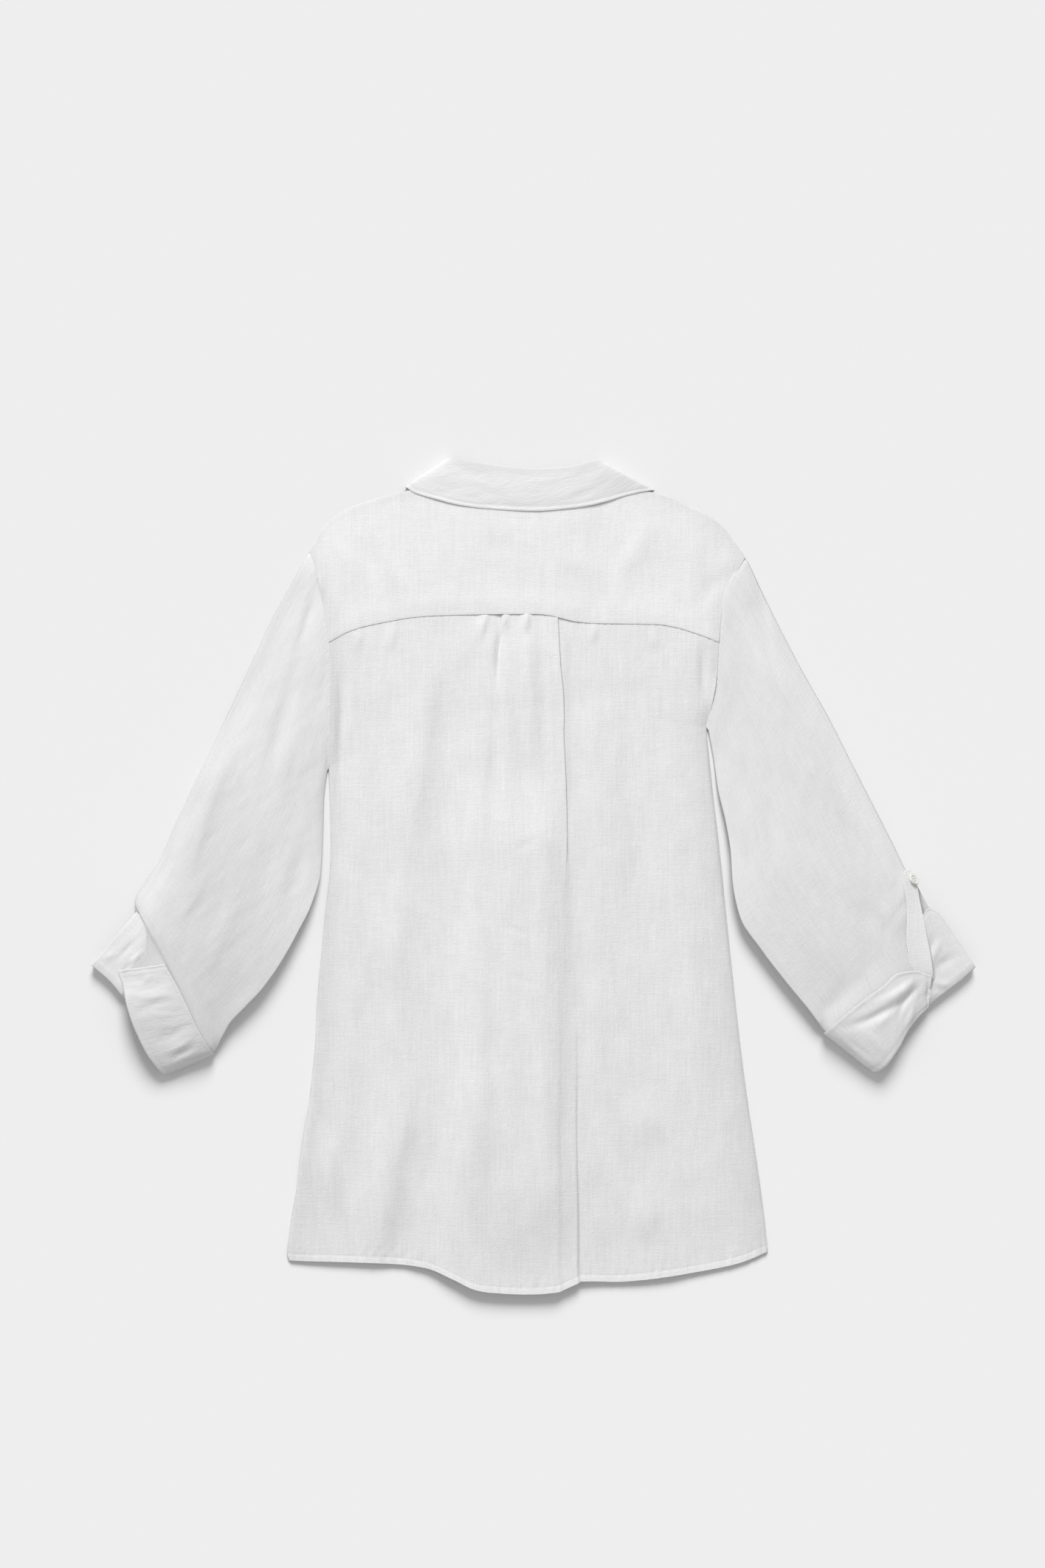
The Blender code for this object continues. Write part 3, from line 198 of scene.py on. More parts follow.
# The waves are smaller near a panel's sides, over this distance, and the yoke's top edge.
WAVES_FADE = {"back": 18, "yoke": 14, "yoke top": 0.1}
SIDE_TURN = {"reach": 1.6, "down": 0.85, "arm": 0.03}  # the side seam's rounded edge, below the arm
# The yoke's lower edge lies on the back. It follows the highest cloth within some columns, then
# evened out, and the seam allowance lifts it. Its wall is thin where it is pressed.
LIP = {"reach": 1.3, "rise": 0.12, "bend": 0.9, "blend": 14.0, "past": 1.8, "thin": 0.4}
LIP_COLUMNS = {"highest": 4, "evened": 8}
# How the top of a sleeve goes under the armhole's edge and its underside goes over it.
TUCK = {"reach": 4.5, "in": 2.4, "below": 0.48, "above": 0.5}
# Distances over which a sleeve's folds fade: from its side folds, from its armhole and its cuff.
SLEEVE_FADE = {"turn": 6, "fold": 16, "arm": 20, "cuff": 25}
SLEEVE_SLANT = (0.39, -0.92)  # the way down a sleeve, outwards and down
# Distances over which a cuff's folds, layers and painted tone begin, beside each of these.
CUFF_FADE = {"rim": 6, "fold": 8, "end": 2, "edge": 4, "layers": 3, "floor": 3}
COLLAR_FADE = {"drop": 2, "roll": 8, "ends": 3}  # the same on the collar
OUTER_EDGE = 0.45  # share of the height of a sleeve's outer edge that is left once it is pressed
FLATTER = table("place share", [(0, 0.75), (0.45, 0.78), (0.75, 0.95), (1, 1)])  # its crowns
PRESSED = (0.3, 0.45)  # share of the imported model's steps that the pleat's pressed folds keep
FLAP_WEB = 8.0  # how much of a cuff's rim stays joined to its turned-in end
COLLAR_DROP = {"by": 0.5, "reach": 16.0, "above": 5.0}  # how its edge comes down on the yoke

# Painted shade and painted light: the colour of the cloth is made darker in these places, and
# lighter on some parts of the cuffs.
SIDE_SHADE = {"depth": 1.5, "reach": 12.0, "lower": 0.8}  # painted shade near the sides of the body
HEIGHT_PAINTED_SHADE = {"from": 5.0, "over": 13.0, "left": 1.9, "right": 1.3}  # painted shade up the height of a sleeve, where it stands high
UPPER_SHADE = {"left": 0.4, "right": 0.8, "reach": 130.0}  # painted shade of a sleeve, down from its armhole
RIM_SHADE = {"left": 1.8, "right": 0.2, "reach": 13.0, "from": 30}  # painted shade at a sleeve's outer edge
ROLL_SHADE = {"depth": 2.4, "reach": 4.5, "ends": 1.3, "below": 7.2}  # painted shade round the collar's roll
CUFF_PAINTED_LIGHT_AND_SHADE = {"left": -0.9, "right": 0.5}  # painted shade on the left cuff and painted light on the right one
FLAP_PAINTED_LIGHT_AND_SHADE = {"left": 1.3, "right": -0.4}  # painted light on the left cuff's turned-in end and painted shade on the right one's

# How far the folds of the pleat stray to the right of straight ones, up from the hem.
PLEAT_DRIFT = table("up left right", [
    (0, 0, 0), (0.22, 0, 2), (0.384, 0, 5.5), (0.655, 0, 8.5), (0.75, 0, 11), (0.816, 0, 12),
    (0.87, 0, 8.5), (0.923, 0.5, 3), (1, 3.5, -0.8),
])
PLEAT_SHARE = 0.1  # of the back's width to each side follows a fold

LEFT_SIDE = table("x y z", [
    (-232.4, -365, 2.6), (-234.1, -358, 2.6), (-228.9, -321.6, 2.1), (-219.1, -248.8, 2.1),
    (-209.3, -183, 2.1), (-205.1, -113, 2.1), (-197.4, -32.5, 2.1), (-193.2, 7.3, 2.1),
    (-192.5, 40.9, 2.1), (-193.9, 75, 2.1), (-194.6, 101.8, 2.1),
])
RIGHT_SIDE = table("x y z", [
    (221.6, -356.6, 2.6), (217, -315.3, 2.1), (210, -265.6, 2.1), (200.2, -199.8, 2.1),
    (190.4, -117.9, 2.1), (184.8, -64.8, 2.1), (180.6, -24.8, 2.1), (175.7, 23.4, 2.1),
    (168.7, 82.9, 2.1), (163.1, 140.3, 2.1),
])
# The armholes of the back, from the underarm to the yoke seam, and then of the yoke.
LEFT_ARMHOLE = table("x y z", [
    (-194.6, 101.8, 2.1), (-194.4, 122, 4.4), (-193.9, 150, 5.8), (-193.9, 184, 6.4),
    (-194.6, 222.2, 6.4),
])
LEFT_YOKE_ARMHOLE = table("x y z", [
    (-194.6, 222.2, 6.4), (-200.2, 256.6, 6), (-206.5, 288.8, 4.4), (-212.8, 306.9, 2.1),
])
RIGHT_ARMHOLE = table("x y z", [
    (163.1, 140.3, 2.1), (168, 160, 4.8), (173, 189.3, 6.2), (175, 222.2, 6.4),
])
RIGHT_YOKE_ARMHOLE = table("x y z", [
    (175, 222.2, 6.4), (177.8, 249.5, 6), (186.2, 276.8, 4.8), (200.2, 301.3, 2.1),
])
LEFT_FRONT_ARMHOLE = table("x y z", [
    (-194.6, 101.8, ON_FLOOR), (-189, 128, ON_FLOOR), (-185, 165, ON_FLOOR),
    (-187, 215, ON_FLOOR), (-196, 262, ON_FLOOR), (-212.8, 306.9, ON_FLOOR),
])
RIGHT_FRONT_ARMHOLE = table("x y z", [
    (163.1, 140.3, ON_FLOOR), (164, 165, ON_FLOOR), (166, 205, ON_FLOOR), (175, 255, ON_FLOOR),
    (200.2, 301.3, ON_FLOOR),
])
BACK_HEM = table("x y z", [
    (-232.4, -365, 2.6), (-222, -365.6, 3), (-186.2, -366.4, 4.2), (-136.5, -368.2, 3.4),
    (-110.6, -370.6, 4.6), (-84, -378.3, 7.6), (-67.2, -388.5, 9.4), (-44.1, -394.6, 9.6),
    (-4.9, -396.6, 9), (21.7, -394.6, 9.4), (36, -388.8, 8.2), (46, -384.6, 5.8),
    (77.7, -385.3, 4.2), (121.1, -381.1, 5.4), (160.3, -374.8, 3.8), (193.9, -367.8, 3.4),
    (221.6, -356.6, 2.6),
])
YOKE_SEAM = table("x y z", [
    (-194.6, 222.2, 6.4), (-171.5, 234.1, 6.4), (-140, 241.5, 6.4), (-100.8, 247.1, 6.2),
    (-23.1, 248.8, 6.4), (2.1, 248.8, 6.4), (50.4, 240.4, 6.2), (118.3, 239, 6.2),
    (151.9, 231, 6.4), (175, 222.2, 6.4),
])
# The top edge of the yoke: a shoulder, the back of the neck, the other shoulder.
YOKE_TOP = table("x y z", [
    (-212.8, 306.9, 2.1), (-196.7, 333, 2.1), (-177.8, 346.3, 2.1), (-142, 358.6, 2.1),
    (-128, 361.8, 4.1), (-108, 366, 4.1), (-92, 372, 4.4), (-70, 366, 6.4), (-45, 360, 6.8),
    (-10.5, 356.7, 6.8), (25, 359, 6.8), (50, 365, 6.4), (71, 371, 4.4), (88, 367.5, 4.1),
    (117, 362, 4.1), (132, 355.4, 2.1), (172.9, 335, 2.1), (200.2, 301.3, 2.1),
])
# Rows up the side seams of the back and of the fronts, in shares of their length.
BACK_ROWS = (0, 0.015, 0.06, 0.12, 0.2, 0.28, 0.36, 0.45, 0.54, 0.63, 0.72, 0.8, 0.88, 0.95, 1)
FRONT_ROWS = (0, 0.05, 0.16, 0.3, 0.46, 0.62, 0.8, 1)
# Places across the back to the left of its box pleat, on it and to the right of it.
BACK_COLUMNS = (
    (0, 0.02, 0.05, 0.1, 0.16, 0.22, 0.28, 0.34, 0.39, 0.415),
    (0.46, 0.49, 0.512, 0.535, 0.56),
    (0.61, 0.635, 0.68, 0.735, 0.79, 0.84, 0.89, 0.93, 0.96, 0.985, 1),
)
# Places across each front from its side seam to its edge, the last five over the buttons.
FRONT_COLUMNS = {
    "left": (0, 0.06, 0.16, 0.28, 0.4, 0.49, 0.5585, 0.585, 0.615, 0.66, 0.72),
    "right": (0, 0.06, 0.16, 0.28, 0.39, 0.48, 0.575, 0.6, 0.63, 0.68, 0.74),
}
FRONT_BAND_COLUMNS = {
    "left": (0.765, 0.805, 0.86, 0.93, 1),
    "right": (0.785, 0.83, 0.87, 0.93, 1),
}
# How far down the neck of each front is cut.
FRONT_NECK = table("x y", [
    (-92, 372), (-87, 345), (-74, 312), (-46, 282), (-10.5, 272), (25, 282), (53, 312), (66, 345),
    (71, 371),
])
# Where the collar lies under the fronts, which it lifts.
COLLAR_UNDER = {"left": -128.0, "right": 118.0, "low": 232.0, "ramp": 13.0}
COLLAR_LIFT = COLLAR_CLOTH + SEAM_GAP

# The box pleat at the centre of the back: where each fold is along the width, and the overlap
# and height of its step at places up the back from hem (0) to yoke (1).
PLEATS = {"left": (0.436, -1), "right": (0.588, 1)}
LEFT_PLEAT = table("up overlap step", [
    (0, -4.5, 0.4), (0.6, -4.5, 0.5), (0.82, -4.5, 0.9), (0.88, -3, 1.6), (0.93, -1, 2.4),
    (0.97, 3, PLEAT_STEP), (1, 8, PLEAT_STEP),
])
RIGHT_PLEAT = table("up overlap step", [
    (0, -6, 0.8), (0.2, -6, 1.1), (0.34, -5.5, 1.5), (0.48, -4, 2), (0.62, -1, 2.8),
    (0.69, 2, PLEAT_STEP), (0.76, 4.5, PLEAT_STEP), (1, 10, PLEAT_STEP),
])
# Soft folds of the back that fan from the yoke to the hem: place across at each end, the part of
# the height they cover, how high they stand and how wide they are.
FOLD_FADE = {"start": 0.12, "end": 0.15}
BACK_FOLDS = table("yoke hem start end height width", [
    (0.1, 0.07, 0.1, 0.95, 0.5, 26), (0.22, 0.18, 0.02, 0.9, 0.65, 34),
    (0.33, 0.3, 0.05, 1, -0.55, 30), (0.38, 0.38, 0, 0.8, 0.6, 24),
    (0.51, 0.49, 0.05, 0.95, -0.5, 22), (0.68, 0.68, 0.02, 0.92, 0.55, 32),
    (0.79, 0.8, 0.1, 0.98, -0.45, 30), (0.89, 0.9, 0.05, 0.8, 0.6, 28),
])

# Each row is a ring round a sleeve, from the armhole to the slit: its outer and its inner fold
# in plan, their heights, the height of its top, how much it still follows the armhole, and where
# across it the slit has opened its top layer.
RING_COLUMNS = "outer_x outer_y inner_x inner_y outer_z inner_z crown seam slit"
LEFT_RINGS = table(RING_COLUMNS, [
    (-212.8, 306.9, -194.6, 101.8, 1.35, 1.35, 7.2, 1, 0),
    (-231, 274.3, -199.4, 72, 2.6, 2.6, 9.5, 0.6, 0),
    (-254.8, 230, -200.4, 38, 3.2, 4, 12, 0.3, 0), (-280, 174.5, -202.5, 2, 3.6, 6, 14, 0.1, 0),
    (-304, 124, -211, -28, 4, 10, 15.5, 0, 0), (-326.2, 78, -224, -54.5, 4.2, 12.5, 17, 0, 0),
    (-341.9, 44, -240, -83, 4.6, 14, 18.5, 0, 0), (-354.2, 15, -257, -107, 5, 14.5, 19.5, 0, 0),
    (-367.5, -6, -274, -125, 5, 14, 20, 0, 0), (-378.2, -26.2, -288, -140, 5, 12.5, 19.5, 0, 0),
    (-378.7, -31, -295, -152, 3, 10.5, 19, 0, 0.13),
])
RIGHT_RINGS = table(RING_COLUMNS, [
    (200.2, 301.3, 163.1, 140.3, 1.35, 1.35, 7.2, 1, 0),
    (217, 266, 170, 112, 2.6, 2.6, 9.5, 0.6, 0), (236, 227.5, 174.5, 80, 3.2, 4, 12, 0.3, 0),
    (257, 188, 181.5, 50, 3.6, 6, 14, 0.1, 0), (279, 149, 186, 22, 4, 8, 15.5, 0, 0),
    (302, 103.5, 188, -8, 4.2, 9.5, 17, 0, 0), (322, 64.5, 195, -40, 4.6, 10.5, 18, 0, 0),
    (340, 29, 216, -72, 5, 11, 19, 0, 0), (352.5, 4, 240, -103, 5, 11, 19.5, 0, 0),
    (362.2, -8.8, 259, -126, 5, 11, 19.5, 0, 0), (369, -21, 268, -138, 3, 10, 19, 0, 0.12),
])
# Places across a ring, 0 at the outer fold and 1 at the inner one. At the armhole they are also
# the points of the body's edge, with the yoke from the outer fold to YOKE_SHARE.
RING_TOP = (0, 0.012, 0.05, 0.12, 0.21, 0.31, 0.41, 0.51, 0.61, 0.71, 0.81, 0.89, 0.95, 0.988)
RING_BOTTOM = (1, 0.988, 0.95, 0.86, 0.7, 0.54, 0.38, 0.27, 0.15, 0.06, 0.015, 0)
YOKE_SHARE = 0.41
UNDERARM_UP = 0.82  # share of the height of the back and the fronts that is side seam
RING_SQUARENESS = 2.2
RING_FULLNESS = 0.8  # a tube blown round has 0.5, and a pressed one more
RING_SAG = {"depth": 1.15, "power": 0.8}  # how the lower half of a ring comes down to the surface
# How far the sleeve stands off the armhole's edge, in plan, and where across it the most.
ARMHOLE_GAP = {"top": 1.3 * SEAM_GAP, "underarm": 5.5 * SEAM_GAP, "from": 0.7, "to": 0.95}
ARMHOLE_LEAN = 0.25  # of the way out from the body, which is otherwise along x
SLIT_FADE = 0.25  # share of the top half beside the slit that follows the slit's edge

# A turned-back cuff, station by station round the arm from its stitched end: its free edge and
# its rim. The turn is 0 at the outer fold of the sleeve, then over the top, 0.5 at the inner
# fold, and back below.
CUFF_COLUMNS = "turn free_x free_y free_z rim_x rim_y rim_z"
LEFT_CUFF = table(CUFF_COLUMNS, [
    (0.1, -348.6, -83.6, 18.5, -394.8, -89.9, 10), (0.16, -341.5, -96, 20.4, -388.5, -105, 14),
    (0.22, -333.5, -110, 21.5, -385.5, -119, 19), (0.28, -326, -125.5, 21.5, -380.5, -136, 19.5),
    (0.34, -319.5, -140, 20.5, -373.5, -153, 18.5),
    (0.4, -312.5, -153.5, 18.5, -364.8, -170.5, 16), (0.45, -307, -162.5, 15, -357, -181.5, 12.5),
    (0.48, -304.3, -166.8, 11, -352.6, -187, 9.5), (0.5, -303.3, -168.6, 7, -350.8, -189.4, 6.4),
    (0.52, -304.6, -167, 3.4, -352.6, -187.6, 3.4), (0.55, -307.4, -161.8, 1.2, -356, -182, 1.2),
    (0.6, -313, -151, ON_FLOOR, -362, -172, ON_FLOOR),
    (0.7, -326, -125, ON_FLOOR, -377, -143, ON_FLOOR),
    (0.8, -341, -98, ON_FLOOR, -388, -118, ON_FLOOR),
    (0.86, -351, -80, ON_FLOOR, -396, -106, ON_FLOOR),
    (0.93, -364, -59, ON_FLOOR, -407, -95, ON_FLOOR),
    (1, -377.8, -38.5, ON_FLOOR, -419, -85, ON_FLOOR),
])
RIGHT_CUFF = table(CUFF_COLUMNS, [
    (0.1, 375.5, -94.6, 14.4, 373.5, -124.5, 10), (0.16, 359.5, -89.8, 17.4, 362.4, -135, 13.5),
    (0.22, 344, -91.4, 21, 352.5, -147.5, 16.5), (0.28, 327.5, -104.5, 22.9, 345.5, -160.6, 18),
    (0.34, 309, -117.8, 22.5, 338.8, -171, 17.5), (0.4, 292.5, -131.5, 20.5, 332.5, -179.5, 15.5),
    (0.45, 280.5, -142.5, 16.5, 327, -184.5, 12), (0.48, 275.8, -147, 11.6, 323.6, -186.2, 9.2),
    (0.5, 274.2, -149, 7, 321, -186.8, 6.4), (0.52, 276, -147.6, 3.4, 323, -185, 3.4),
    (0.55, 280, -142.6, 1.2, 327.4, -180, 1.2), (0.6, 288, -134, ON_FLOOR, 334, -171, ON_FLOOR),
    (0.7, 308, -116, ON_FLOOR, 349, -151, ON_FLOOR),
    (0.8, 332, -94, ON_FLOOR, 367, -129, ON_FLOOR),
    (0.86, 346, -77, ON_FLOOR, 381, -116, ON_FLOOR),
    (0.93, 362, -57, ON_FLOOR, 399, -103, ON_FLOOR),
    (1, 378, -36, ON_FLOOR, 417.4, -86.5, ON_FLOOR),
])
# Places round a cuff before its flap, and across it from its free edge, where its top side is
# a little higher.
CUFF_TURNS = (0.1, 0.16, 0.22, 0.28, 0.34, 0.4, 0.45, 0.48, 0.5, 0.52, 0.55, 0.6, 0.7, 0.8)
CUFF_WIDTHS = table("width rise", [(0, 0), (0.3, 1), (0.62, 1), (0.9, 0.3)])
CUFF_RISE_END = 0.46
LEG_WIDTH = 0.95  # first row of the leg inside a cuff
# The last stretch of each cuff is turned in over the rim, and lies in the slit. Where it starts,
# the sleeve inside comes down to the surface over DROP.
DROP = (0.81, 0.85)
LEFT_FLAP = table("turn x y z", [
    (0.83, -355.5, -57.5, 10.5), (0.89, -360.5, -51, 10), (0.95, -367, -43, 8),
    (1, -376.8, -34.5, 5),
])
RIGHT_FLAP = table("turn x y z", [
    (0.83, 364.5, -58, 14.5), (0.89, 366.5, -41, 12.5), (0.95, 373.5, -31.2, 9.5),
    (1, 384, -37.5, 6.5),
])
FLAP_BASE = 9.5  # height of its turn, and of the rim there
FLAP_RIM = 8.5
# The edge of the sleeve's slit inside the cuff, along the cuff's width from its free edge.
LEFT_SLIT = table("width x y z", [
    (0, -365.5, -60.5, 12.9), (0.35, -370.5, -77, 12.9), (0.75, -382, -88, 11.5),
])
RIGHT_SLIT = table("width x y z", [
    (0, 361, -74, 12.5), (0.35, 366, -90, 12.5), (0.75, 370.4, -112, 11.5),
])

# The tab that holds the right roll, from its tip past the button to the cuff's free edge. It
# slopes across by its tilt.
RIGHT_TAB = table("x y z half_width tilt", [
    (352.5, 5, 9, 3, -0.5), (353.5, 1, 9.6, 5.6, -0.5), (355.5, -8, 10.6, 6.4, -0.5),
    (358, -25, 12.4, 6.6, -0.4), (360, -41, 14, 8, -0.28), (361, -58, 15.2, 10, -0.2),
    (363.5, -74, 15.6, 10.5, -0.1), (366, -90, 14.6, 10.5, 0), (367, -99, 12.2, 10.5, 0),
])
# The other tab is not in use, and hangs inside its sleeve.
LEFT_TAB = table("x y z half_width tilt", [
    (-320, 24, 5.1, 9, 0), (-324, 5, 5.1, 9, 0), (-329, -15, 4.8, 9, 0), (-333, -35, 3.4, 9, 0),
    (-336, -51, 2.8, 8, 0), (-337, -57, 2.8, 3, 0),
])
RIGHT_TAB_BUTTON = {"centre": (358.2, -4.6, 9.2), "tilt": (-0.5, 0.8, 0)}
LEFT_TAB_BUTTON = (-321.0, 16.0)
BUTTON_ROOM = {"full": 20.0, "none": 38.0}  # how near it the sleeve is lifted, in plan

# The collar, station by station from its left front end round the back to its right front end:
# the roll line, the outer edge, the seam to the neck, and the heights of the seam, of the stand
# at the roll line and of the fall.
COLLAR = table("roll_x roll_y edge_x edge_y neck_x neck_y neck_z stand_z fall_z edge_z", [
    (-17, 297, -66, 240, -17, 275.6, 5, 5.6, 0.8, 0.8),
    (-34, 301, -90, 266, -34, 280.6, 4.2, 5, 0.8, 0.8),
    (-52, 318, -106, 298, -59.5, 298, 2.5, 4.4, 0.8, 0.8),
    (-64, 343, -114, 330, -77, 326, 2.5, 4.2, 0.8, 0.8),
    (-72, 372, -117.5, 350, -85.5, 350, 2.5, 4.2, 0.8, 0.8),
    (-76.2, 388.5, -119.6, 361, -88.6, 364.5, 2.8, 4.4, 0.8, 0.8),
    (-78.6, 393.8, -121.3, 365.6, -89.6, 370.4, 3.8, 5, 1.2, 1),
    (-79.8, 396.4, -122, 367.8, -90, 374, 4.8, 6, 5.2, 2),
    (-78.4, 396.2, -120.8, 367, -88.6, 373.8, 5.6, 6.8, 8.4, 3.4),
    (-74, 395, -114.5, 362.6, -84.5, 372.2, 6.2, 7.3, 9.8, 5),
    (-58.8, 391.7, -92, 355.6, -71, 368.2, 6.8, 7.8, 10.8, 7.6),
    (-30.8, 387.5, -62.3, 348.8, -44, 361.4, 7, 7.8, 10.8, 9),
    (0, 384.8, 0, 344.6, -10.5, 358.2, 7, 7.8, 10.8, 9),
    (32.2, 386.8, 53.9, 350.2, 27, 360.8, 7, 7.8, 10.8, 8.4),
    (50, 391, 84, 358.6, 50, 366.6, 6.8, 7.8, 10.8, 6.2),
    (57, 392.6, 102, 363, 64, 371.2, 6.2, 7.3, 10.5, 5),
    (60.6, 393, 111.2, 364.4, 67.6, 373.4, 5.6, 6.8, 9.6, 4.2),
    (61.6, 392.4, 114, 364.4, 69, 373.6, 4.8, 6, 6, 2.6),
    (60.6, 390, 112.6, 363.2, 68.6, 370, 3.8, 5, 1.2, 1),
    (58.4, 384, 110.4, 358.6, 67.6, 364, 2.8, 4.4, 0.8, 0.8),
    (52, 368, 106, 348, 64.5, 350, 2.5, 4.2, 0.8, 0.8),
    (43, 343, 97, 328, 56, 326, 2.5, 4.2, 0.8, 0.8),
    (31, 318, 84, 297, 38.5, 298, 2.5, 4.2, 0.8, 0.8),
    (13, 302, 68, 266, 13, 280.6, 3.2, 4.2, 0.8, 0.8),
    (-4, 297, 45, 240, -4, 275.6, 3.5, 4.2, 0.8, 0.8),
])
ROLL = 3.0  # how far back from the fold the stand meets the fall
STAND_GAP = 3.4 * SEAM_GAP  # between them there
STAND_ROWS = (0, 0.35, 0.7, 1)
ROLL_ROWS = table("back share", [(0.7, 0.12), (0, 0.5), (0.7, 0.88)])  # round the fold
FALL_START = 4.0  # past the fold the fall is flat
FALL_ROWS = (0, 0.3, 0.62, 0.93, 1)
FALL_SLOPE = 1.5



def curve(at, knots, values):
    """Values drawn as a smooth curve over their knots, which never swings past them. A value may
    itself be a row of numbers."""
    at = np.clip(np.asarray(at, float), knots[0], knots[-1])
    values = np.asarray(values, float)
    extra = (1,) * (values.ndim - 1)
    gaps = np.diff(knots)
    rates = np.diff(values, axis=0) / gaps.reshape(-1, *extra)
    before, after = rates[:-1], rates[1:]
    same_way = before * after > 0
    sums = np.where(same_way, before + after, 1)
    inner = np.where(same_way, 2 * before * after / sums, 0)
    slopes = np.concatenate([rates[:1], inner, rates[-1:]])
    k = np.clip(np.searchsorted(knots, at, side="right") - 1, 0, len(gaps) - 1)
    s = ((at - knots[k]) / gaps[k]).reshape(at.shape + extra)
    gap = gaps[k].reshape(at.shape + extra)
    return (
        (1 + 2 * s) * (1 - s) ** 2 * values[k]
        + s * (1 - s) ** 2 * gap * slopes[k]
        + s**2 * (3 - 2 * s) * values[k + 1]
        + s**2 * (s - 1) * gap * slopes[k + 1]
    )


def soft_step(value):
    """0 below 0, 1 above 1, and smooth between."""
    value = np.clip(value, 0, 1)
    return value**2 * (3 - 2 * value)


def bump(off, reach):
    """1 at no distance, and less further off, as a bell."""
    return np.exp(-((off / reach) ** 2))


def along_shares(line):
    """How far along a line each of its points is, as a share of its length in plan."""
    steps = np.hypot(np.diff(line["x"]), np.diff(line["y"]))
    return np.concatenate([[0], np.cumsum(steps)]) / steps.sum()


def along(line, at):
    """Points of a line with x, y and z, at shares of its length in plan."""
    shares = along_shares(line)
    return np.stack([curve(at, shares, line[axis]) for axis in "xyz"], -1)


def on_back_armhole(yoke_arm, back_arm, shares):
    """Points of the armhole at places across the top of the sleeve."""
    on_yoke = along(yoke_arm, 1 - shares / YOKE_SHARE)
    on_back = along(back_arm, (1 - shares) / (1 - YOKE_SHARE))
    return np.where(shares[:, None] < YOKE_SHARE, on_yoke, on_back)


def side_and_armhole(side, side_rows, armhole, arm_rows):
    """Points up a side seam and then up the armhole above it."""
    return np.concatenate([along(side, side_rows), along(armhole, arm_rows)[1:]])


def rows_of(side_rows, arm_rows):
    """How far up a panel its rows are, in shares of its height."""
    arm = UNDERARM_UP + (1 - UNDERARM_UP) * arm_rows
    return np.concatenate([UNDERARM_UP * side_rows, arm[1:]])


def filled(bottom, top, left, right, across, up):
    """The surface that four edges span, as a grid: rows run up, columns across."""
    u, v = across[None, :, None], up[:, None, None]
    corners = (
        (1 - u) * (1 - v) * bottom[None, :1]
        + u * (1 - v) * bottom[None, -1:]
        + (1 - u) * v * top[None, :1]
        + u * v * top[None, -1:]
    )
    edges = (1 - v) * bottom[None] + v * top[None] + (1 - u) * left[:, None] + u * right[:, None]
    return edges - corners


def pleat_section(overlap, step):
    """Six points across one fold of the pleat, seen from its top side towards the fold and then
    down to the cloth beside it: how far each lies past the fold, and how high."""
    bend = PLEAT_BEND
    if overlap > 0:
        place = (-bend, 0, -bend, bend - overlap, -overlap, bend - overlap)
    else:
        place = tuple(np.linspace(-1, 1, 6) * (1.0 - overlap))
    height = np.array((1, 0.75, 0.5, 0.5, 0.25, 0)) if overlap > 0 else np.linspace(1, 0, 6)
    return np.array(place), height * step


def fold_heights(folds, across, up, width):
    """The height that soft folds add at each place of a panel of this width."""
    total = np.zeros(np.broadcast_shapes(across.shape, up.shape))
    for yoke, hem, start, end, height, wide in zip(*folds.values()):
        middle = hem + (yoke - hem) * up
        length = soft_step((up - start) / FOLD_FADE["start"])
        length = length * soft_step((end - up) / FOLD_FADE["end"])
        total += height * length * bump((across - middle) * width, wide / 2)
    return total


def back_columns():
    """Places across the back, with six for each fold of its box pleat."""
    left, box, right = BACK_COLUMNS
    folds = [[place] * 6 for place, _ in PLEATS.values()]
    starts = (len(left), len(left) + 6 + len(box))
    return np.concatenate([left, folds[0], box, folds[1], right]), starts


def with_shares(grid, across, up):
    """The grid with each point's share across and up as two more channels."""
    shape = (*grid.shape[:2], 1)
    u = np.broadcast_to(across[None, :, None], shape)
    v = np.broadcast_to(up[:, None, None], shape)
    return np.concatenate([grid, u, v], -1)


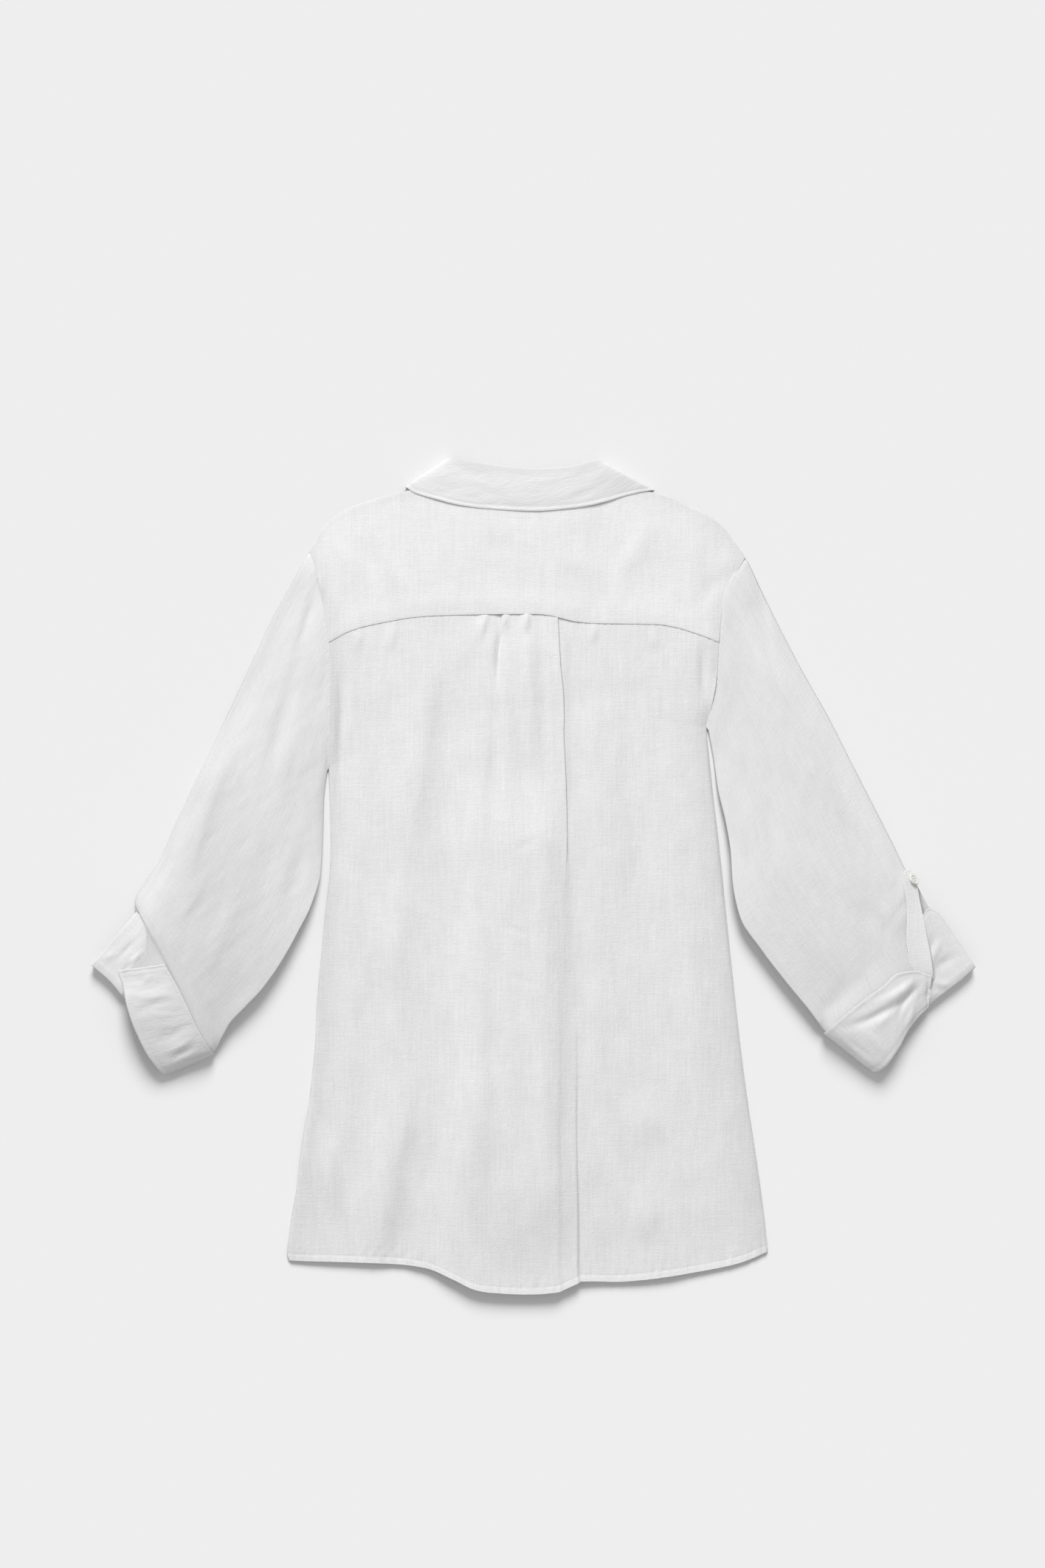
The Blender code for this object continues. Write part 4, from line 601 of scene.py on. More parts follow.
def back_net():
    """The middle of the back panel before its soft folds, whose columns fan from the yoke to
    the hem, with its shares across and up as two more channels."""
    across, starts = back_columns()
    side_rows = np.array(BACK_ROWS)
    shares = np.array([f for f in RING_TOP if f >= YOKE_SHARE] + [1])
    arm_rows = ((1 - shares) / (1 - YOKE_SHARE))[::-1]
    rows_up = rows_of(side_rows, arm_rows)
    grid = filled(
        along(BACK_HEM, across),
        along(YOKE_SEAM, across),
        side_and_armhole(LEFT_SIDE, side_rows, LEFT_ARMHOLE, arm_rows),
        side_and_armhole(RIGHT_SIDE, side_rows, RIGHT_ARMHOLE, arm_rows),
        across,
        rows_up,
    )
    u, v = across[None, :], rows_up[:, None]
    width = (grid[:, -1, 0] - grid[:, 0, 0])[:, None]
    from_side = np.minimum(u, 1 - u) * width
    off_edges = soft_step(v / BACK_EDGES["hem"]) * soft_step((1 - v) / BACK_EDGES["yoke"])
    off_side = 1 - np.exp(-from_side / BACK_REACH)
    over_band = bump(u - BAND_BUMP["at"], BAND_BUMP["reach"]) * BAND_BUMP["rise"]
    grid[..., 2] += np.clip(BACK_HEIGHT - grid[..., 2], 0, None) * off_side * off_edges
    grid[..., 2] += off_edges * over_band
    tables = (LEFT_PLEAT, RIGHT_PLEAT)
    for r, up in enumerate(rows_up):
        steps = []
        for start, fold, (_, way), pressed in zip(starts, tables, PLEATS.values(), PRESSED):
            overlap = float(np.interp(up, fold["up"], fold["overlap"]))
            step = float(np.interp(up, fold["up"], fold["step"])) * pressed
            offset, height = pleat_section(overlap, step)
            order = slice(None, None, way)
            across_row = grid[r, start + 6, :2] - grid[r, start - 1, :2]
            across_row /= np.linalg.norm(across_row)
            grid[r, start : start + 6, :2] += way * offset[order][:, None] * across_row
            grid[r, start : start + 6, 2] += height[order]
            steps.append(step)
        box = slice(starts[0] + 6, starts[1])
        share = np.linspace(0, 1, box.stop - box.start + 2)[1:-1]
        grid[r, box, 2] += steps[0] + (steps[1] - steps[0]) * share
    return with_shares(grid, across, rows_up)


def yoke_net():
    """The middle of the yoke, with its shares across and up as two more channels."""
    across = np.unique(back_columns()[0])
    shares = np.array([f for f in RING_TOP if f <= YOKE_SHARE])
    rows_up = (1 - shares / YOKE_SHARE)[::-1]
    grid = filled(
        along(YOKE_SEAM, across),
        along(YOKE_TOP, across),
        along(LEFT_YOKE_ARMHOLE, rows_up),
        along(RIGHT_YOKE_ARMHOLE, rows_up),
        across,
        rows_up,
    )
    u, v = across[None, :], rows_up[:, None]
    width = grid[:, -1:, 0] - grid[:, :1, 0]
    from_side = np.minimum(u, 1 - u) * width
    from_top = grid[-1:, :, 1] - grid[..., 1]
    off_side = 1 - np.exp(-from_side / YOKE_REACH["side"])
    off_top = 1 - np.exp(-from_top / YOKE_REACH["top"])
    over_seam = YOKE_EDGE["rise"] * np.exp(-v / YOKE_EDGE["reach"]) * off_side
    over_pleat = np.exp(-(((u - YOKE_BUMP["at"]) / YOKE_BUMP["reach"]) ** 4))
    over_pleat = YOKE_BUMP["rise"] * over_pleat * np.exp(-v / YOKE_BUMP["fade"])
    grid[..., 2] += np.clip(YOKE_HEIGHT - grid[..., 2], 0, None) * off_side * off_top
    grid[..., 2] += over_seam + over_pleat
    return with_shares(grid, across, rows_up)


def y_on(line, x):
    """The y of a line at these x."""
    return curve(x, line["x"], line["y"])


def collar_lift(x, y):
    """How far the collar below lifts a front at a place."""
    ramp = COLLAR_UNDER["ramp"]
    return (
        COLLAR_LIFT
        * soft_step((x - COLLAR_UNDER["left"] + ramp) / ramp)
        * soft_step((COLLAR_UNDER["right"] + ramp - x) / ramp)
        * soft_step((y - COLLAR_UNDER["low"] + ramp) / ramp)
    )


def front_grid(side, side_seam, armhole, columns, lift, ramp):
    """The middle of one front, from its side seam to its edge past the buttons. The button band
    is lifted off the surface by lift, which it reaches over the ramp (from x, to x)."""
    way = -1 if side == "left" else 1
    corner = side_seam["x"][0]
    edge = CENTRE_FRONT - way * BAND_OVERLAP
    hem_x = corner + (edge - corner) * columns
    hem_y = y_on(BACK_HEM, hem_x) + FRONT_HEM_RISE * soft_step(columns / FRONT_HEM_RAMP)
    shoulder = armhole["x"][-1]
    top_x = edge + (hem_x - edge) * (shoulder - edge) / (corner - edge)
    neck = FRONT_NECK["x"][0 if side == "left" else -1]
    on_shoulder = (top_x - neck) * way >= 0
    top_y = np.where(on_shoulder, y_on(YOKE_TOP, top_x), y_on(FRONT_NECK, top_x))
    flat = np.zeros(len(columns))
    side_rows = np.array(FRONT_ROWS)
    arm_rows = 1 - np.array(RING_BOTTOM)
    rows_up = rows_of(side_rows, arm_rows)
    edge_y = hem_y[-1] + (top_y[-1] - hem_y[-1]) * rows_up
    grid = filled(
        np.stack([hem_x, hem_y, flat], -1),
        np.stack([top_x, top_y, flat], -1),
        side_and_armhole(side_seam, side_rows, armhole, arm_rows) * (1, 1, 0),
        np.stack([np.full(len(rows_up), edge), edge_y, np.zeros(len(rows_up))], -1),
        columns,
        rows_up,
    )
    x, y = grid[..., 0], grid[..., 1]
    band = lift * soft_step((x - ramp[0]) / (ramp[1] - ramp[0]))
    grid[..., 2] = ON_FLOOR + np.maximum(band, collar_lift(x, y))
    return grid


def ring_profile(f, outer_z, inner_z, crown, top):
    """Height across a flattened tube: a squarish arch on top, flat on the surface below."""
    edge = outer_z + (inner_z - outer_z) * f
    arch = np.clip(1 - np.abs(2 * f - 1) ** RING_SQUARENESS, 0, 1) ** RING_FULLNESS
    if top:
        return edge + (crown - edge) * arch
    sag = RING_SAG["depth"] * (edge - ON_FLOOR) * arch ** RING_SAG["power"]
    return np.maximum(ON_FLOOR, edge - sag)


def cuff_point(cuff, turn, width):
    """A point of the cuff's outer layer, and its inward direction there."""
    columns = [n for n in cuff if n != "turn"]
    step = 0.004  # of a turn, either side of it, to find the way round the arm

    def place(at):
        at = np.clip(at, cuff["turn"][0], 1)
        free = np.stack([curve(at, cuff["turn"], cuff[n]) for n in columns[:3]], -1)
        rim = np.stack([curve(at, cuff["turn"], cuff[n]) for n in columns[3:]], -1)
        return free, rim

    free, rim = place(turn)
    here = np.asarray(width)[..., None]
    first, last = place(turn - step), place(turn + step)
    round_arm = last[0] + (last[1] - last[0]) * here - first[0] - (first[1] - first[0]) * here
    inward = np.cross(round_arm, rim - free)
    inward /= np.linalg.norm(inward, axis=-1, keepdims=True)
    return free + (rim - free) * here, inward


def inside_cuff(cuff, turn, width, side):
    """The sleeve's surface inside its cuff, or on the surface where the cuff has no layer
    below it."""
    turn, width = np.broadcast_arrays(np.asarray(turn, float), np.asarray(width, float))
    point, inward = cuff_point(cuff, turn, width)
    way = 1 if side == "left" else -1
    layered = 1 - soft_step((turn - DROP[0]) / (DROP[1] - DROP[0]))
    return point + way * inward * TURN_BACK * layered[..., None]


def ring_rows(rings, side, cuff, slit, back_arm, yoke_arm, front_arm):
    """The middle of a sleeve: rings from the armhole to the slit, then inside the cuff."""
    top, bottom = np.array(RING_TOP), np.array(RING_BOTTOM)
    top_arm = on_back_armhole(yoke_arm, back_arm, top)
    bottom_arm = along(front_arm, 1 - bottom)
    outward = np.array((-1.0 if side == "left" else 1.0, ARMHOLE_LEAN))
    rows = []
    for values in zip(*rings.values()):
        ring = dict(zip(rings, values))
        outer = np.array((ring["outer_x"], ring["outer_y"]))
        inner = np.array((ring["inner_x"], ring["inner_y"]))
        halves = []
        for shares, arm, is_top in ((top, top_arm, True), (bottom, bottom_arm, False)):
            f = ring["slit"] + (1 - ring["slit"]) * shares if is_top else shares
            plan = outer + (inner - outer) * f[:, None]
            height = ring_profile(f, ring["outer_z"], ring["inner_z"], ring["crown"], is_top)
            if ring["seam"] > 0:
                seam_z = np.where((f == 0) | (f == 1), LAYER / 2 + ON_FLOOR, arm[:, 2])
                straight = arm[0, :2] + (arm[-1, :2] - arm[0, :2]) * np.abs(f - f[0])[:, None]
                plan = plan + (arm[:, :2] - straight) * ring["seam"]
                height = height + (seam_z - height) * ring["seam"]
            halves.append(np.column_stack([plan, height]))
        rows.append(np.concatenate(halves))
    first = rows[0]
    gap = ARMHOLE_GAP
    steep = soft_step((np.concatenate([top, bottom]) - gap["from"]) / (gap["to"] - gap["from"]))
    apart = gap["top"] + (gap["underarm"] - gap["top"]) * steep
    first[:, :2] += outward / np.linalg.norm(outward) * apart[:, None]
    if side == "left":
        for row in rows:
            off = np.linalg.norm(row[:, :2] - LEFT_TAB_BUTTON, axis=1)
            fade = BUTTON_ROOM["none"] - BUTTON_ROOM["full"]
            near = soft_step((BUTTON_ROOM["none"] - off) / fade)
            row[:, 2] = np.maximum(row[:, 2], ON_FLOOR + (BUTTON_THICK + SEAM_GAP) * near)
    over = CUFF_START + (INNER_FOLD - CUFF_START) * top
    turn = np.concatenate([over, INNER_FOLD + (1 - INNER_FOLD) * (1 - bottom)])
    leg_end = 1 - CUFF_LEG
    for width in (0.0, leg_end / 2, leg_end - LEG_GAP):
        row = inside_cuff(cuff, turn, width, side)
        start = np.array([curve(width, slit["width"], slit[n]) for n in ("x", "y", "z")])
        fade = np.clip(1 - top / SLIT_FADE, 0, 1) ** 2
        row[: len(top)] += (start - row[0]) * fade[:, None]
        rows.append(row)
    return np.array(rows)


def cuff_grid(cuff, flap, side):
    """The middle of a turned-back cuff: from its free edge to its rim, and back inside by a
    leg that meets the sleeve. Its last columns are the end that is turned in over the rim."""
    first = len(CUFF_TURNS)
    turn = np.concatenate([CUFF_TURNS, flap["turn"]])
    rows = []
    for width, rise in zip(*CUFF_WIDTHS.values()):
        row = cuff_point(cuff, turn, np.full(len(turn), width))[0]
        row[:, 2] += rise * (turn < CUFF_RISE_END)
        rows.append(row)
    rim, inward = cuff_point(cuff, turn, np.ones(len(turn)))
    way = 1 if side == "left" else -1
    rows.append(rim + way * inward * TURN_BACK / 2)
    for width in (LEG_WIDTH, 1 - CUFF_LEG):
        rows.append(inside_cuff(cuff, turn, np.full(len(turn), width), side))
    grid = np.array(rows)
    end = np.stack([flap[axis] for axis in "xyz"], -1)
    rim_row = len(CUFF_WIDTHS["width"])
    base = grid[rim_row, first:].copy()
    base[:, 2] = FLAP_BASE
    for r, width in enumerate(CUFF_WIDTHS["width"]):
        grid[r, first:] = end + (base - end) * width
    grid[rim_row, first:, 2] = FLAP_RIM
    return grid


def collar_grids():
    """The middles of the collar's stand and of its fall. They meet just behind the fold."""
    count = len(COLLAR["roll_x"])
    at = np.linspace(0, count - 1, 2 * count - 1)
    knots = np.arange(count, dtype=float)
    c = {name: curve(at, knots, values) for name, values in COLLAR.items()}
    lines = ("roll", "edge", "neck")
    roll, edge, neck = (np.stack([c[f"{n}_x"], c[f"{n}_y"]], -1) for n in lines)
    to_edge = edge - roll
    to_edge /= np.linalg.norm(to_edge, axis=1, keepdims=True)
    to_neck = neck - roll
    to_neck /= np.linalg.norm(to_neck, axis=1, keepdims=True)
    rise = c["fall_z"] - c["stand_z"]
    meet = roll + to_neck * ROLL
    stand_top = meet + to_neck * STAND_GAP
    stand = []
    for share in STAND_ROWS:
        plan = neck + (stand_top - neck) * share
        stand.append(np.column_stack([plan, c["neck_z"] + (c["stand_z"] - c["neck_z"]) * share]))
    fall = [np.column_stack([meet, c["stand_z"]])]
    for back, share in zip(*ROLL_ROWS.values()):
        fall.append(np.column_stack([roll + to_edge * back, c["stand_z"] + rise * share]))
    start = roll + to_edge * FALL_START
    for share in FALL_ROWS:
        height = c["fall_z"] + (c["edge_z"] - c["fall_z"]) * share**FALL_SLOPE
        fall.append(np.column_stack([start + (edge - start) * share, height]))
    return np.array(stand), np.array(fall)


def strip_grid(line, steps, widths=(-1, -0.5, 0, 0.5, 1)):
    """The middle of a strip about a line, as wide and as tilted as its table says."""
    middle = along(line, np.linspace(0, 1, steps))
    knots = along_shares(line)
    half = curve(np.linspace(0, 1, steps), knots, line["half_width"])
    tilt = curve(np.linspace(0, 1, steps), knots, line["tilt"])
    ahead = np.gradient(middle[:, :2], axis=0)
    ahead /= np.linalg.norm(ahead, axis=1, keepdims=True)
    aside = np.column_stack([-ahead[:, 1], ahead[:, 0], tilt])
    return np.array([middle + aside * (half * w)[:, None] for w in widths]).swapaxes(0, 1)


def knots_of(net, axis):
    """How far along a net its rows (axis 0) or columns (axis 1) are, on average."""
    steps = np.linalg.norm(np.diff(net[..., :3], axis=axis), axis=2).mean(axis=1 - axis)
    return np.concatenate([[0], np.cumsum(steps)])


def places(knots, cell, least=1, start=(), end=()):
    """Places along the knots, at all of them and about a cell apart, and at some distances
    inside the start and the end."""
    found = [knots[-1:]]
    for here, there in zip(knots, knots[1:]):
        count = max(least, math.ceil((there - here) / cell))
        found.append(here + (there - here) * np.arange(count) / count)
    found = [*found, np.array(start, float), knots[-1] - np.array(end, float)]
    return np.unique(np.round(np.concatenate(found), 4))


def drawn(net, axis, knots, at):
    """The net with rows or columns at other places, on a smooth surface through its own."""
    return np.moveaxis(curve(at, knots, np.moveaxis(net, axis, 0)), 0, axis)


def dense(net, cell, least=(1, 1), rims=((), (), (), ())):
    """The net with cells of about this size. rims are the distances of more rows inside its
    bottom and top and of more columns inside its left and right edge."""
    rows, columns = knots_of(net, 0), knots_of(net, 1)
    net = drawn(net, 0, rows, places(rows, cell, least[0], rims[0], rims[1]))
    return drawn(net, 1, columns, places(columns, cell, least[1], rims[2], rims[3]))


def outward(surface, way=1):
    """Unit normals of a surface: right-handed from its columns to its rows, or the other way."""
    across = np.gradient(surface[..., :3], axis=1)
    up = np.gradient(surface[..., :3], axis=0)
    normal = way * np.cross(across, up)
    return normal / np.maximum(np.linalg.norm(normal, axis=-1, keepdims=True), 1e-9)


def arc(surface, axis):
    """The length along the surface from its first row or column to each point."""
    steps = np.linalg.norm(np.diff(surface[..., :3], axis=axis), axis=2)
    start = np.zeros_like(steps[:1] if axis == 0 else steps[:, :1])
    return np.concatenate([start, np.cumsum(steps, axis=axis)], axis=axis)


CREASE_COLUMNS = "x0 y0 x1 y1 bend height left right"


def creased(x, y, creases):
    """Height of soft ridges and troughs at places in plan. Each runs from its first point to its
    last, with its middle bent aside, and is wider on one side of its line than on the other."""
    total = np.zeros(np.shape(x))
    for x0, y0, x1, y1, bend, height, left, right in zip(*creases.values()):
        length = math.hypot(x1 - x0, y1 - y0)
        ahead = ((x1 - x0) / length, (y1 - y0) / length)
        along_it = ((x - x0) * ahead[0] + (y - y0) * ahead[1]) / length
        aside = (y - y0) * ahead[0] - (x - x0) * ahead[1]
        inside = np.clip(along_it, 0, 1)
        aside = aside - bend * 4 * inside * (1 - inside)
        taper = min(TAPER["share"], TAPER["most"] / length)
        fade = soft_step(along_it / taper) * soft_step((1 - along_it) / taper)
        total += height * fade * bump(aside, np.where(aside > 0, left, right))
    return total


def lumps(x, y, wide, long, seed):
    """Smooth seeded noise between -1 and 1, with lumps about so wide and long."""
    lattice = np.random.default_rng(seed).uniform(-1, 1, (LATTICE, LATTICE))
    across, up = x / wide, y / long
    column, row = np.floor(across).astype(int), np.floor(up).astype(int)
    s, t = soft_step(across - column), soft_step(up - row)
    column, after = column % LATTICE, (column + 1) % LATTICE
    low, high = (
        lattice[here % LATTICE, column] * (1 - s) + lattice[here % LATTICE, after] * s
        for here in (row, row + 1)
    )
    return low * (1 - t) + high * t


def crumple(x, y, wide, long, seed):
    """Uneven soft waves: lumps of three sizes, the finer ones turned a little."""
    total = 0.6 * lumps(x, y, wide, long, seed)
    total += 0.28 * lumps(x + 0.3 * y, y - 0.3 * x, wide * 0.45, long * 0.42, seed + 1)
    return total + 0.12 * lumps(x - 0.5 * y, y + 0.5 * x, wide * 0.2, long * 0.19, seed + 2)


def puckers(at, off, spacing, reach, seed):
    """Ripples that run out from a seam: at is the place along it and off the distance from it."""
    random = np.random.default_rng(seed)
    total = np.zeros(np.shape(at))
    for ratio in (1, 0.61, 1.57):
        phase, lean = random.uniform(0, math.tau), random.uniform(-0.35, 0.35)
        total += np.sin(math.tau * (at + lean * off) / (spacing * ratio) + phase) / 3
    return total * np.exp(-np.abs(off) / reach) * (0.6 + 0.4 * lumps(at, 0 * at, 31, 1, seed + 9))


def dressed(name, mesh):
    """A new object for a piece, in the collection that the cloth's own light shines on."""
    held = bpy.data.collections.get(DRESSED) or bpy.data.collections.new(DRESSED)
    if held.name not in bpy.context.scene.collection.children:
        bpy.context.scene.collection.children.link(held)
    piece = bpy.data.objects.new(name, mesh)
    held.objects.link(piece)
    return piece


def settled(surface, wall):
    """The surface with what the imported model's thicker wall holds off the floor down on it."""
    surface = surface.copy()
    lowest = wall / 2 + FLOOR_GAP
    drop = ON_FLOOR - lowest
    surface[..., 2] -= drop * (1 - soft_step((surface[..., 2] - ON_FLOOR) / SETTLE_REACH))
    surface[..., 2] = np.maximum(surface[..., 2], lowest)
    return surface


def cloth(name, surface, finish, wall, way=1, closed=None, holes=None, thick=None, layer_whiteness_and_painted_shade=None):
    """A shell about a surface of rows and columns of points. Channels 3 and 4 are its place along
    the weave. closed marks the rows whose last point is their first one again, holes the cells to
    leave out, thick is the wall at each point, as a share, and the last is how much whiter the
    colour is made where the hem is doubled, and how much painted shade and painted light it gets."""
    surface = settled(surface, wall)
    rows, columns = surface.shape[:2]
    index = np.arange(rows * columns).reshape(rows, columns)
    if closed is not None:
        index[closed, -1] = index[closed, 0]
    corners = np.stack([index[:-1, :-1], index[:-1, 1:], index[1:, 1:], index[1:, :-1]], -1)
    grain = surface[..., 3:5] * MM
    weave = np.stack([grain[:-1, :-1], grain[:-1, 1:], grain[1:, 1:], grain[1:, :-1]], 2)
    keep = np.ones(corners.shape[:2], bool) if holes is None else ~holes
    corners, weave = corners[keep], weave[keep]
    if way < 0:
        corners, weave = corners[:, ::-1], weave[:, ::-1]
    used, faces = np.unique(corners, return_inverse=True)
    points = surface[..., :3].reshape(-1, 3)[used] * MM
    mesh = bpy.data.meshes.new(name)
    mesh.from_pydata(points.tolist(), [], faces.reshape(-1, 4).tolist())
    mesh.uv_layers.new(name="weave").data.foreach_set("uv", weave.astype(np.float32).ravel())
    mesh.shade_smooth()
    mesh.materials.append(finish)
    if layer_whiteness_and_painted_shade is not None:
        shares = np.broadcast_to(layer_whiteness_and_painted_shade, (rows, columns)).reshape(-1)[used]
        layers = mesh.attributes.new("layer_whiteness_and_painted_shade", "FLOAT", "POINT")
        layers.data.foreach_set("value", shares.astype(np.float32))
    piece = dressed(name, mesh)
    shell = piece.modifiers.new("wall", "SOLIDIFY")
    shell.thickness = wall * MM
    shell.offset = 0
    shell.use_quality_normals = True
    if thick is not None:
        group = piece.vertex_groups.new(name="thick")
        shares = np.round(np.broadcast_to(thick, (rows, columns)).reshape(-1)[used], 2)
        for share in np.unique(shares):
            group.add(np.nonzero(shares == share)[0].tolist(), float(share), "REPLACE")
        shell.vertex_group = "thick"
    return piece


def seated(piece, slot, *nodes):
    """The piece rides on the blouse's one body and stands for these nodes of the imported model."""
    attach(piece, "root")
    if nodes:
        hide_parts(*nodes)
    return piece


def inset(surface, edge, distance, way=1):
    """A line on the surface at a distance inside its bottom, top, left or right edge, and the
    normals there."""
    normal = outward(surface, way)
    turned = {"bottom": (0, 1), "top": (0, -1), "left": (1, 1), "right": (1, -1)}
    axis, step = turned[edge]
    points = np.moveaxis(surface[..., :3], axis, 0)[::step]
    normal = np.moveaxis(normal, axis, 0)[::step]
    lengths = np.cumsum(np.linalg.norm(np.diff(points, axis=0), axis=2), axis=0)
    lengths = np.concatenate([np.zeros((1, points.shape[1])), lengths])
    line, up = [], []
    for k in range(points.shape[1]):
        line.append([np.interp(distance, lengths[:, k], points[:, k, a]) for a in range(3)])
        up.append([np.interp(distance, lengths[:, k], normal[:, k, a]) for a in range(3)])
    return np.array(line), np.array(up)


def threads(name, paths, radius, slot="linen"):
    """Sewing thread as one mesh of thin tubes. Each path is its points and, at each of them, a
    direction that it doesn't follow."""
    turn = np.arange(THREAD_SIDES) * math.tau / THREAD_SIDES
    points, faces, base = [], [], 0
    for path, up in paths:
        ahead = np.gradient(path, axis=0)
        aside = np.cross(ahead, up)
        aside /= np.linalg.norm(aside, axis=1, keepdims=True)
        above = np.cross(aside, ahead)
        above /= np.linalg.norm(above, axis=1, keepdims=True)
        ring = np.cos(turn)[:, None] * aside[:, None] + np.sin(turn)[:, None] * above[:, None]
        points.append((path[:, None] + ring * radius).reshape(-1, 3))
        last = base + (len(path) - 1) * THREAD_SIDES
        for start in range(base, last, THREAD_SIDES):
            for k in range(THREAD_SIDES):
                a, b = start + k, start + (k + 1) % THREAD_SIDES
                faces.append((a, b, b + THREAD_SIDES, a + THREAD_SIDES))
        faces.append(tuple(range(base, base + THREAD_SIDES))[::-1])
        faces.append(tuple(range(last, last + THREAD_SIDES)))
        base = last + THREAD_SIDES
    mesh = bpy.data.meshes.new(name)
    mesh.from_pydata((np.concatenate(points) * MM).tolist(), [], faces)
    mesh.shade_smooth()
    mesh.materials.append(finish_named("spun thread"))
    return seated(dressed(name, mesh), slot)


def lockstitches(name, lines, sewing):
    """Stitches along lines on the cloth, each a short arch that starts and ends in the cloth."""
    radius = sewing.thread / 2 / MM
    length, gap = sewing.stitch / MM, sewing.gap / MM
    arch = np.sin(np.linspace(0, math.pi, STITCH_STATIONS)) * radius * STITCH_ARCH["rise"]
    rise = arch - radius * STITCH_ARCH["sunk"]
    paths = []
    for line, up in lines:
        steps = np.linalg.norm(np.diff(line, axis=0), axis=1)
        walked = np.concatenate([[0], np.cumsum(steps)])
        for start in np.arange(gap, walked[-1] - length, length + gap):
            at = start + length * np.linspace(0, 1, STITCH_STATIONS)
            path = np.stack([np.interp(at, walked, line[:, a]) for a in range(3)], -1)
            lift = np.stack([np.interp(at, walked, up[:, a]) for a in range(3)], -1)
            stitch = path + lift * rise[:, None]
            stitch[:, 2] = np.maximum(stitch[:, 2], radius + FLOOR_GAP)
            paths.append((stitch, lift))
    return threads(name, paths, radius)


def seam_line(surface, edge, distance, wall, way=1):
    """A line for stitches on the face of a piece of cloth, and the normals there."""
    line, up = inset(settled(surface, wall), edge, distance, way)
    up /= np.linalg.norm(up, axis=1, keepdims=True)
    return line + up * wall / 2, up


# Creases of each panel, from one end to the other. Each has the width of its left and its right
# flank as one goes along it, and troughs are below zero.
BACK_CREASES = table(CREASE_COLUMNS, [
    (-31, 264, -36, 168, 0, -1.7, 3, 2.2), (24, 275, 30, 20, 2.5, 0.9, 2.2, 9),
    (9, 262, 17, 60, 2, 0.7, 6, 2.5), (-33, 262, -39, 186, 0, 1.1, 2.4, 10),
    (-43, 205, -52, 40, 2, 0.9, 5, 12), (-50, -20, -47, -310, -4, 1.3, 12, 24),
    (-6, 267, 4, 74, -3, 2, 8, 12), (-26, 240, -24, 40, 0, 1.2, 9, 9),
    (-101, 234, -123, -8, 4, 2, 12, 26), (-123, 12, -141, -128, 0, 1.6, 14, 22),
    (-116, -167, -160, -400, 4, 2.6, 13, 22), (-62, -150, -66, -340, 0, 2.5, 26, 16),
    (0, 110, 6, -380, 3, 4.8, 24, 70), (-195, -228, -193, -335, 0, 1.8, 11, 21),
    (45, -239, 51, -307, 0, 0.8, 11, 16), (101, -197, 107, -263, 0, 0.7, 11, 16),
    (103, -286, 114, -354, 0, 1.4, 10, 17), (63, 224, 75, -61, 6, 1.1, 15, 26),
    (98, -213, 128, -258, 2, 0.45, 3, 4), (-26, 17, 10, 37, 2, -0.25, 4, 4),
    (-30, -46, -6, -58, 1, -0.35, 2.5, 3), (-28, -92, -4, -104, 1, -0.3, 2.5, 3),
    (-183, 222, -186, 60, 1, -1.6, 6, 4), (160, 228, 162, 158, -1, -2, 4.5, 3.5),
    (163, 171, 177, 53, 1, -1.4, 6, 4), (174, 200, 167, 146, 1, 1.1, 3, 3),
    (-44, 256, -52, 218, 0, 1.5, 3, 5), (-25, 256, -29, 226, 0, 1.4, 2, 3),
    (-6, 256, -8, 226, 0, 1.6, 2.5, 4), (58, 244, 54, 215, 1, 0.7, 3, 5),
    (-134, 244, -140, 206, 2, 0.8, 4, 7), (-164, 236, -167, 210, 0, 0.6, 3, 5),
    (112, 238, 115, 208, 0, 0.6, 4, 5), (-211, -199, -221, -299, 2, 0.9, 5, 6),
    (138, -62, 160, -212, 5, 0.8, 9, 14), (-165, 61, -181, -119, -6, 0.9, 11, 18),
    (51, -61, 61, -231, 3, 0.6, 8, 10), (-79, -60, -85, -200, -3, 0.6, 8, 12),
])
YOKE_CREASES = table(CREASE_COLUMNS, [
    (-206, 291, -200, 255, 0, 1, 3, 3), (-183, 325, -141, 269, 6, -0.8, 10, 8),
    (-160, 322, -106, 260, -5, 0.7, 9, 12), (192, 290, 150, 246, -5, -0.8, 8, 10),
    (113, 346, 73, 270, 4, 0.7, 12, 10), (-58, 312, -8, 304, 3, -0.5, 9, 9),
    (16, 305, 70, 287, -3, 0.5, 10, 8), (163, 349, 173, 233, -2, -1.3, 22, 9),
    (-170, 332, -178, 264, 2, 0.6, 10, 18),
])
SLEEVE_CREASES = {
    "left": table(CREASE_COLUMNS, [
        (-201, 298, -229, 198, 2, -1.5, 7, 5), (-218, 237, -259, 77, 3, -1.6, 10, 8),
        (-278, 157, -340, -53, -5, 2.6, 18, 24), (-280, 136, -332, -32, -5, 0.7, 6, 12),
        (-292, 30, -350, -62, 2, 0.8, 6, 11), (-272, 8, -322, -118, 3, 0.8, 7, 11),
        (-222, 152, -238, 62, -4, 0.9, 6, 8), (-210, 56, -250, -64, 5, -0.9, 8, 9),
        (-252, 238, -270, 178, 2, 0.8, 6, 8), (-306, 111, -332, 53, 0, 0.6, 5, 6),
    ]),
    "right": table(CREASE_COLUMNS, [
        (202, 302, 238, 162, -2, -1, 6, 7), (210, 290, 224, 225, 0, -0.6, 4, 4),
        (193, 256, 307, 24, 4, 1.7, 10, 18), (215, 83, 235, 9, 2, -0.9, 8, 9),
        (301, -17, 339, -65, 0, -0.9, 8, 10), (248, 37, 274, -19, 2, 0.6, 5, 8),
        (171, 106, 199, 16, -3, 0.9, 10, 8), (244, 62, 274, -88, 6, -0.9, 9, 9),
        (324, 23, 344, -25, 2, 0.7, 5, 7),
    ]),
}
